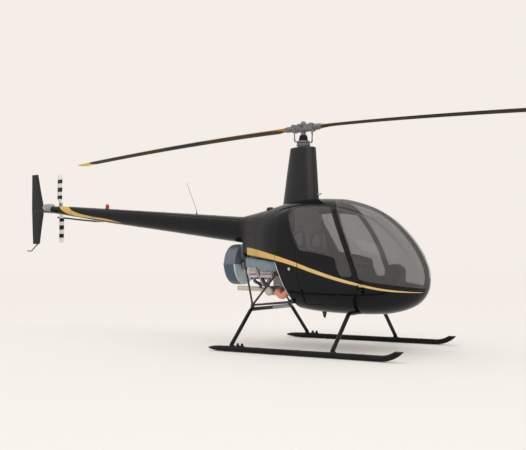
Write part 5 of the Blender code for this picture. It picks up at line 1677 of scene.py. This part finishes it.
def cushion(origin, along, up, size, channels=(), taper=0):
    """A stuffed pad and its piping: flat where it rests, swollen by its filling, sewn in channels across it."""
    origin, along, up = Vector(origin), Vector(along), Vector(up)
    across = Vector((0, 1, 0))
    length, width, thick = (measure - 0.01 for measure in size)

    def half_width(u):
        return width / 2 * (1 - abs(2 * u / length) ** 7) ** (1 / 5) * (1 - taper * max(2 * u / length, 0) ** 2)

    rings = []
    for k in range(65):
        u = -length / 2 * math.cos(math.pi * (k * 0.998 + 0.064) / 64)
        ring = []
        round_off = (1 - abs(2 * u / length) ** 9) ** 0.25
        for c, s in circle(48):
            v = half_width(u) * math.copysign(abs(c) ** 0.42, c)
            if s >= 0:
                rise = thick * (0.42 + 0.58 * s**0.55 * round_off)
            else:
                rise = thick * 0.42 * (1 - abs(s) ** 0.35 * round_off)
            ring.append(origin + along * u + across * v + up * rise)
        rings.append(ring)
    mesh = stuffed(lofted("pad", rings), lambda point: (point - origin).dot(up) < 0.004, 0.009)
    places = np.array([vertex.co for vertex in mesh.vertices]) - np.array(origin)
    u, h = places @ np.array(along), places @ np.array(up)
    sewn = sum((np.exp(-(((u - share * length / 2) / 0.0065) ** 2)) for share in channels), np.zeros(len(u)))
    top = np.clip((h - thick * 0.5) / (thick * 0.35), 0, 1)
    places += np.outer(-0.011 * sewn * top, np.array(up))
    below_rest = np.maximum(0, -(places @ np.array(up)))
    places += np.outer(below_rest, np.array(up))
    mesh.vertices.foreach_set("co", (places + np.array(origin)).ravel())
    mesh.shade_smooth()
    cover = surface_of(mesh)[0]
    line = []
    for c, s in circle(120):
        u = length / 2 * math.copysign(abs(c) ** 0.3, c) * 0.999
        v = half_width(u) * math.copysign(abs(s) ** 0.3 if abs(c) > abs(s) else 1, s)
        line.append(cover.find_nearest(origin + along * u + across * v + up * thick * 0.42)[0])
    work = stock()
    pipe(work, line + line[:1], 0.0036, 8)
    return mesh, work


def strap(work, line, across, width=0.046, thick=0.0022, paint=0):
    """Adds a flat webbing belt along the line, with its width in the direction across."""
    line, across = [Vector(p) for p in line], Vector(across).normalized()
    rings = []
    for k, here in enumerate(line):
        onward = (line[min(k + 1, len(line) - 1)] - line[max(k - 1, 0)]).normalized()
        wide = (across - onward * across.dot(onward)).normalized()
        up = onward.cross(wide)
        ring = []
        for a, b in ((-1, -0.4), (-0.94, -1), (0.94, -1), (1, -0.4), (1, 0.4), (0.94, 1), (-0.94, 1), (-1, 0.4)):
            ring.append(here + wide * (a * width / 2) + up * (b * thick / 2))
        rings.append(ring)
    skin_over(work, rings, paint)


ON_BASE, ON_WALL, UP, AHEAD = BASE_TOP + 0.0008, BACK_X + 0.0008, (0, 0, 1), (1, 0, 0)
PADS = {
    "seat_cushion": ((0.432, 0, ON_BASE), AHEAD, UP, (0.508, 0.388, 0.0985), (-0.62, -0.24, 0.14, 0.52)),
    "seat_back": ((ON_WALL, 0, 0.985), UP, AHEAD, (0.372, 0.388, 0.108), (-0.55, -0.18, 0.18, 0.55)),
    "head_pad": ((ON_WALL, 0, 1.268), UP, AHEAD, (0.184, 0.372, 0.06), (), 0.35),
}
for pad_name, measures in PADS.items():
    pad_mesh, piping = cushion(*measures)
    cover, slot = (grey_vinyl, "cabin_trim") if pad_name == "head_pad" else (seat_cloth, "seat_cover")
    for side, name in SIDES:
        here, aside = pad_mesh.copy(), Matrix.Translation((0, side * SEAT_ASIDE, 0))
        here.transform(aside)
        pad = put(f"{pad_name}_{name}", here, [cover])
        if pad_name == "seat_cushion":
            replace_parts(pad, f"seat_{name}")
        edge = mesh_of("piping", piping)
        edge.transform(aside)
        edge.shade_smooth()
        put(f"{pad_name}_piping_{name}", edge, [rubber])
for side, name in SIDES:
    work, middle = stock(), side * SEAT_ASIDE
    shoulder, buckle = middle + side * 0.02, middle - side * 0.125
    strap(work, bent([
        (0.075, shoulder, 1.43), (0.132, shoulder, 1.345), (0.138, middle + side * 0.01, 1.2),
        (0.187, middle - side * 0.01, 1.12), (0.188, middle - side * 0.07, 0.88), (0.218, middle - side * 0.12, 0.816),
    ], 0.05, 6), (0, 1, 0))
    strap(work, bent([
        (0.215, middle + side * 0.185, 0.722), (0.225, middle + side * 0.178, 0.8),
        (0.28, middle + side * 0.09, 0.815), (0.29, middle, 0.817), (0.27, middle - side * 0.09, 0.815),
        (0.222, middle - side * 0.14, 0.812),
    ], 0.03, 6), (1, 0, 0.2))
    block(work, (0.192, buckle - 0.026, 0.806), (0.25, buckle + 0.026, 0.82), 0.004, 3, paint=1)
    block(work, (0.205, buckle - 0.012, 0.8195), (0.232, buckle + 0.012, 0.8225), 0.002, paint=2)
    bar(work, (0.0605, shoulder, 1.432), (0.078, shoulder, 1.432), 0.014, edge=0.002, paint=1)
    bar(work, (0.072, shoulder - 0.027, 1.432), (0.072, shoulder + 0.027, 1.432), 0.005, paint=1)
    show(f"belts_{name}", work, [webbing, steel, lamp_red])

BASE_SIDE = ((0.19, 0.3), (0.66, 0.3), (0.66, 0.6995), (0.19, 0.6995))
base_mesh = edged(carved(room_mesh, slab(BASE_SIDE, -0.25, 0.25)), 30)
base_paint = Finish("base_paint", (0.04, 0.041, 0.044), 0.55, drift=0.12, patch=9, grain=900, bump=0.35)
base = put("seat_base_box", base_mesh, [base_paint])
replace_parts(base, "seat_base")
work = stock()
for y in (-0.125, 0.125):
    block(work, (0.6602, y - 0.1, 0.53), (0.664, y + 0.1, 0.672), 0.002)
    bar(work, (0.6635, y, 0.652), (0.668, y, 0.652), 0.01, sides=20, paint=1)
    for dy in (-0.09, 0.09):
        for z in (0.542, 0.66):
            rivets(work, [((0.664, y + dy, z), (1, 0, 0))], 0.004, paint=1)
show("seat_base_doors", work, [base_paint, steel])

# Pedestal and controls: a moulded panel housing with round dials, a T-bar cyclic stick with two grips that hang from
# it, rubbered pedals on a cross shaft, and the lever between the seats, all in textured black.
CONSOLE_SIDE = ((1, 0.4), (1.02, 0.7), (1.1, 0.96), (1.17, 0.985), (1.24, 0.93), (1.24, 0.4))
crackle = Finish("crackle", (0.016, 0.016, 0.017), 0.6, patch=14, grain=480, bump=0.55)
dial_white = Finish("dial_white", (0.72, 0.72, 0.7), 0.5, drift=0.05, patch=30, grain=400, bump=0.02)
outline = soft_outline(CONSOLE_SIDE, 0.025, 4)
rings = []
for y, step in (
    (-0.13, 0.014), (-0.1275, 0.006), (-0.122, 0.0015), (-0.112, 0),
    (0.112, 0), (0.122, 0.0015), (0.1275, 0.006), (0.13, 0.014),
):
    rings.append([(x, y, z) for x, z in (inset(outline, step) if step else outline)])
console_mesh = edged(carved(
    lofted("console_box", rings), room_mesh,
    rod((1.1, -0.3, 0.57), (1.1, 0.3, 0.57), 0.0096),
), 35)
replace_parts(put("console_housing", console_mesh, [crackle]), "console")
work = stock()
panel_low, panel_high = Vector((1.02, 0, 0.7)), Vector((1.1, 0, 0.96))
rise = (panel_high - panel_low).normalized()
facing = Vector((-rise.z, 0, rise.x))
DIAL_ROWS = ((0.83, (-0.06, 0.06), 0.04), (0.5, (-0.078, 0, 0.078), 0.033), (0.2, (-0.078, 0, 0.078), 0.03))


def dial_way(degrees):
    """The direction on the panel's face at an angle from straight up."""
    turn = math.radians(degrees)
    return rise * math.cos(turn) + Vector((0, -1, 0)) * math.sin(turn)


for share, spots, size in DIAL_ROWS:
    for number, y in enumerate(spots):
        centre = panel_low.lerp(panel_high, share) + Vector((0, y, 0)) + facing * 0.001
        bezel = [(0, size), (0.8, size), (1, size * 0.94), (1, size * 0.86), (0.45, size * 0.84)]
        turned(work, centre, centre + facing * 0.006, bezel, 32)
        face = centre + facing * 0.0032
        for k in range(9):
            way = dial_way(-130 + 32.5 * k)
            pipe(work, [face + way * size * 0.64, face + way * size * 0.78], 0.0009, 6, paint=1)
        way, pivot = dial_way(-90 + 37 * number + 250 * share), centre + facing * 0.0036
        pipe(work, [pivot - way * size * 0.12, pivot + way * size * 0.6], [0.0014, 0.0007], 6, paint=1)
        bead(work, pivot, (0.004, 0.004, 0.003), 12, paint=2, top_only=tuple(facing))
for k in range(7):
    centre = panel_low.lerp(panel_high, 0.035) + Vector((0, -0.09 + 0.03 * k, 0)) + facing * 0.001
    bar(work, centre, centre + facing * 0.004, 0.0055, sides=12, paint=2)
    bar(work, centre + facing * 0.004, centre + facing * 0.014 + rise * 0.006, 0.002, 0.0028, sides=10, paint=2)
show("dials", work, [black_metal, dial_white, steel])

work = stock()
pipe(work, bent(((0.77, 0, 0.474), (0.77, 0, 0.72), (0.72, 0, 0.997)), 0.06, 8), 0.0138, 24)
t_bar = ((0.7, -0.36, 0.902), (0.715, -0.3, 0.985), (0.72, 0, 1), (0.715, 0.3, 0.985), (0.7, 0.36, 0.902))
pipe(work, bent(t_bar, 0.04, 8), 0.0118, 20)
turned(work, (0.77, 0, 0.474), (0.77, 0, 0.56), [
    (0, 0.046), (0.08, 0.046), (0.2, 0.034), (0.3, 0.038), (0.42, 0.028), (0.54, 0.031), (0.68, 0.021), (0.8, 0.024),
    (1, 0.015),
], 28, paint=1)
bead(work, (0.72, 0, 1), (0.021, 0.03, 0.021), 20)
for side in (-1, 1):
    top, low = Vector((0.7035, side * 0.347, 0.921)), Vector((0.697, side * 0.37, 0.852))
    turned(work, top, low, [
        (0, 0.0125), (0.06, 0.0155), (0.25, 0.015), (0.34, 0.0168), (0.46, 0.015), (0.58, 0.0168), (0.7, 0.015),
        (0.82, 0.0165), (0.95, 0.015), (1, 0.0105),
    ], 20, paint=1)
    bar(work, top + Vector((0.012, 0, -0.008)), top + Vector((0.021, 0, -0.008)), 0.0045, sides=12, paint=2)
stick = show("cyclic_stick", work, [black_metal, rubber, lamp_red])
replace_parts(stick, "cyclic")
work = stock()
bar(work, (1.1, -0.2, 0.57), (1.1, 0.2, 0.57), 0.0088, sides=20)
for y in (-0.2, -0.158, 0.158, 0.2):
    bar(work, (1.1, y, 0.57), (1.1, y, 0.655), 0.0055, sides=14)
    bar(work, (1.1, y - 0.009, 0.57), (1.1, y + 0.009, 0.57), 0.0125, sides=20)
    block(work, (1.0945, y - 0.0175, 0.628), (1.1055, y + 0.0175, 0.6695), 0.003, paint=1)
    for z in evenly(0.632, 0.6632, 5):
        block(work, (1.0925, y - 0.016, z), (1.095, y + 0.016, z + 0.0035), 0.0008, 1, paint=1)
foot = show("foot_pedals", work, [steel, rubber])
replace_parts(foot, "pedals")
work = stock()
pipe(work, bent(((0.24, 0, 0.715), (0.36, 0, 0.775), (0.56, 0, 0.885)), 0.05, 6), 0.0095, 18)
turned(work, (0.545, 0, 0.877), (0.64, 0, 0.93), [
    (0, 0.012), (0.05, 0.0155), (0.3, 0.0145), (0.5, 0.0155), (0.7, 0.0145), (0.92, 0.016), (1, 0.012),
], 20, paint=1)
block(work, (0.225, -0.022, 0.6995), (0.275, 0.022, 0.716), 0.004)
show("collective_lever", work, [black_metal, rubber])

# Small fittings: the belly aerial in its moulded foot, the two drain valves low in the cabin's sides, and the landing
# light, a pressed reflector behind a clear lens that is flush with the nose.
# Each row of the aerial: Z, its front and rear X, and its half width.
AERIAL = (
    (0.4335, 0.322, 0.222, 0.012), (0.425, 0.314, 0.23, 0.0115), (0.405, 0.3, 0.246, 0.0105),
    (0.372, 0.292, 0.254, 0.009), (0.352, 0.288, 0.262, 0.007), (0.3455, 0.282, 0.27, 0.004),
)
work = stock()
skin_over(work, [
    [((front + rear) / 2 + (front - rear) / 2 * c, half * s, z) for c, s in circle(24)]
    for z, front, rear, half in AERIAL
])
aerial = show("belly_aerial", work, [black_metal])
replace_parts(aerial, "belly_antenna")
work = stock()
for side, name in SIDES:
    place, out = skin_spot(0.085, 0.926, side)
    for reach_out, size, paint in ((0.0015, 0.017, 0), (0.005, 0.0125, 1), (0.009, 0.006, 0)):
        bar(work, place - out * 0.004, place + out * reach_out, size, edge=0.0008, paint=paint)
show("drain_valves", work, [bare_metal, fin_metal])
lens_mesh = carved(skin_mesh, rod(*LAMP_LINE, 0.0448), pane_core)
follow(lens_mesh, SKIN, CORE)
clear_lens = Finish("clear_lens", (0.75, 0.76, 0.78), 0.05, drift=0.03, bump=0, Alpha=0.35)
lens = put("landing_lens", lens_mesh, [clear_lens] * 3)
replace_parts(lens, "landing_light")
work = stock()
along = Vector((0.2, 0, -0.16)).normalized()
mouth = SKIN[0].ray_cast(Vector(LAMP_LINE[0]), along)[0] - along * 0.03
skin_over(work, round_rings(mouth - along * 0.03, mouth, [
    (0, 0.012), (0.2, 0.024), (0.5, 0.035), (1, 0.0435), (1, 0.0445), (0.45, 0.037), (0.1, 0.024), (-0.1, 0.013),
], 40), around=True, caps=False)
bead(work, mouth - along * 0.02, (0.011, 0.011, 0.014), 20, paint=1)
bar(work, mouth - along * 0.04, mouth - along * 0.022, 0.01, sides=20)
show("landing_reflector", work, [bare_metal, dial_white])

low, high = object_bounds()
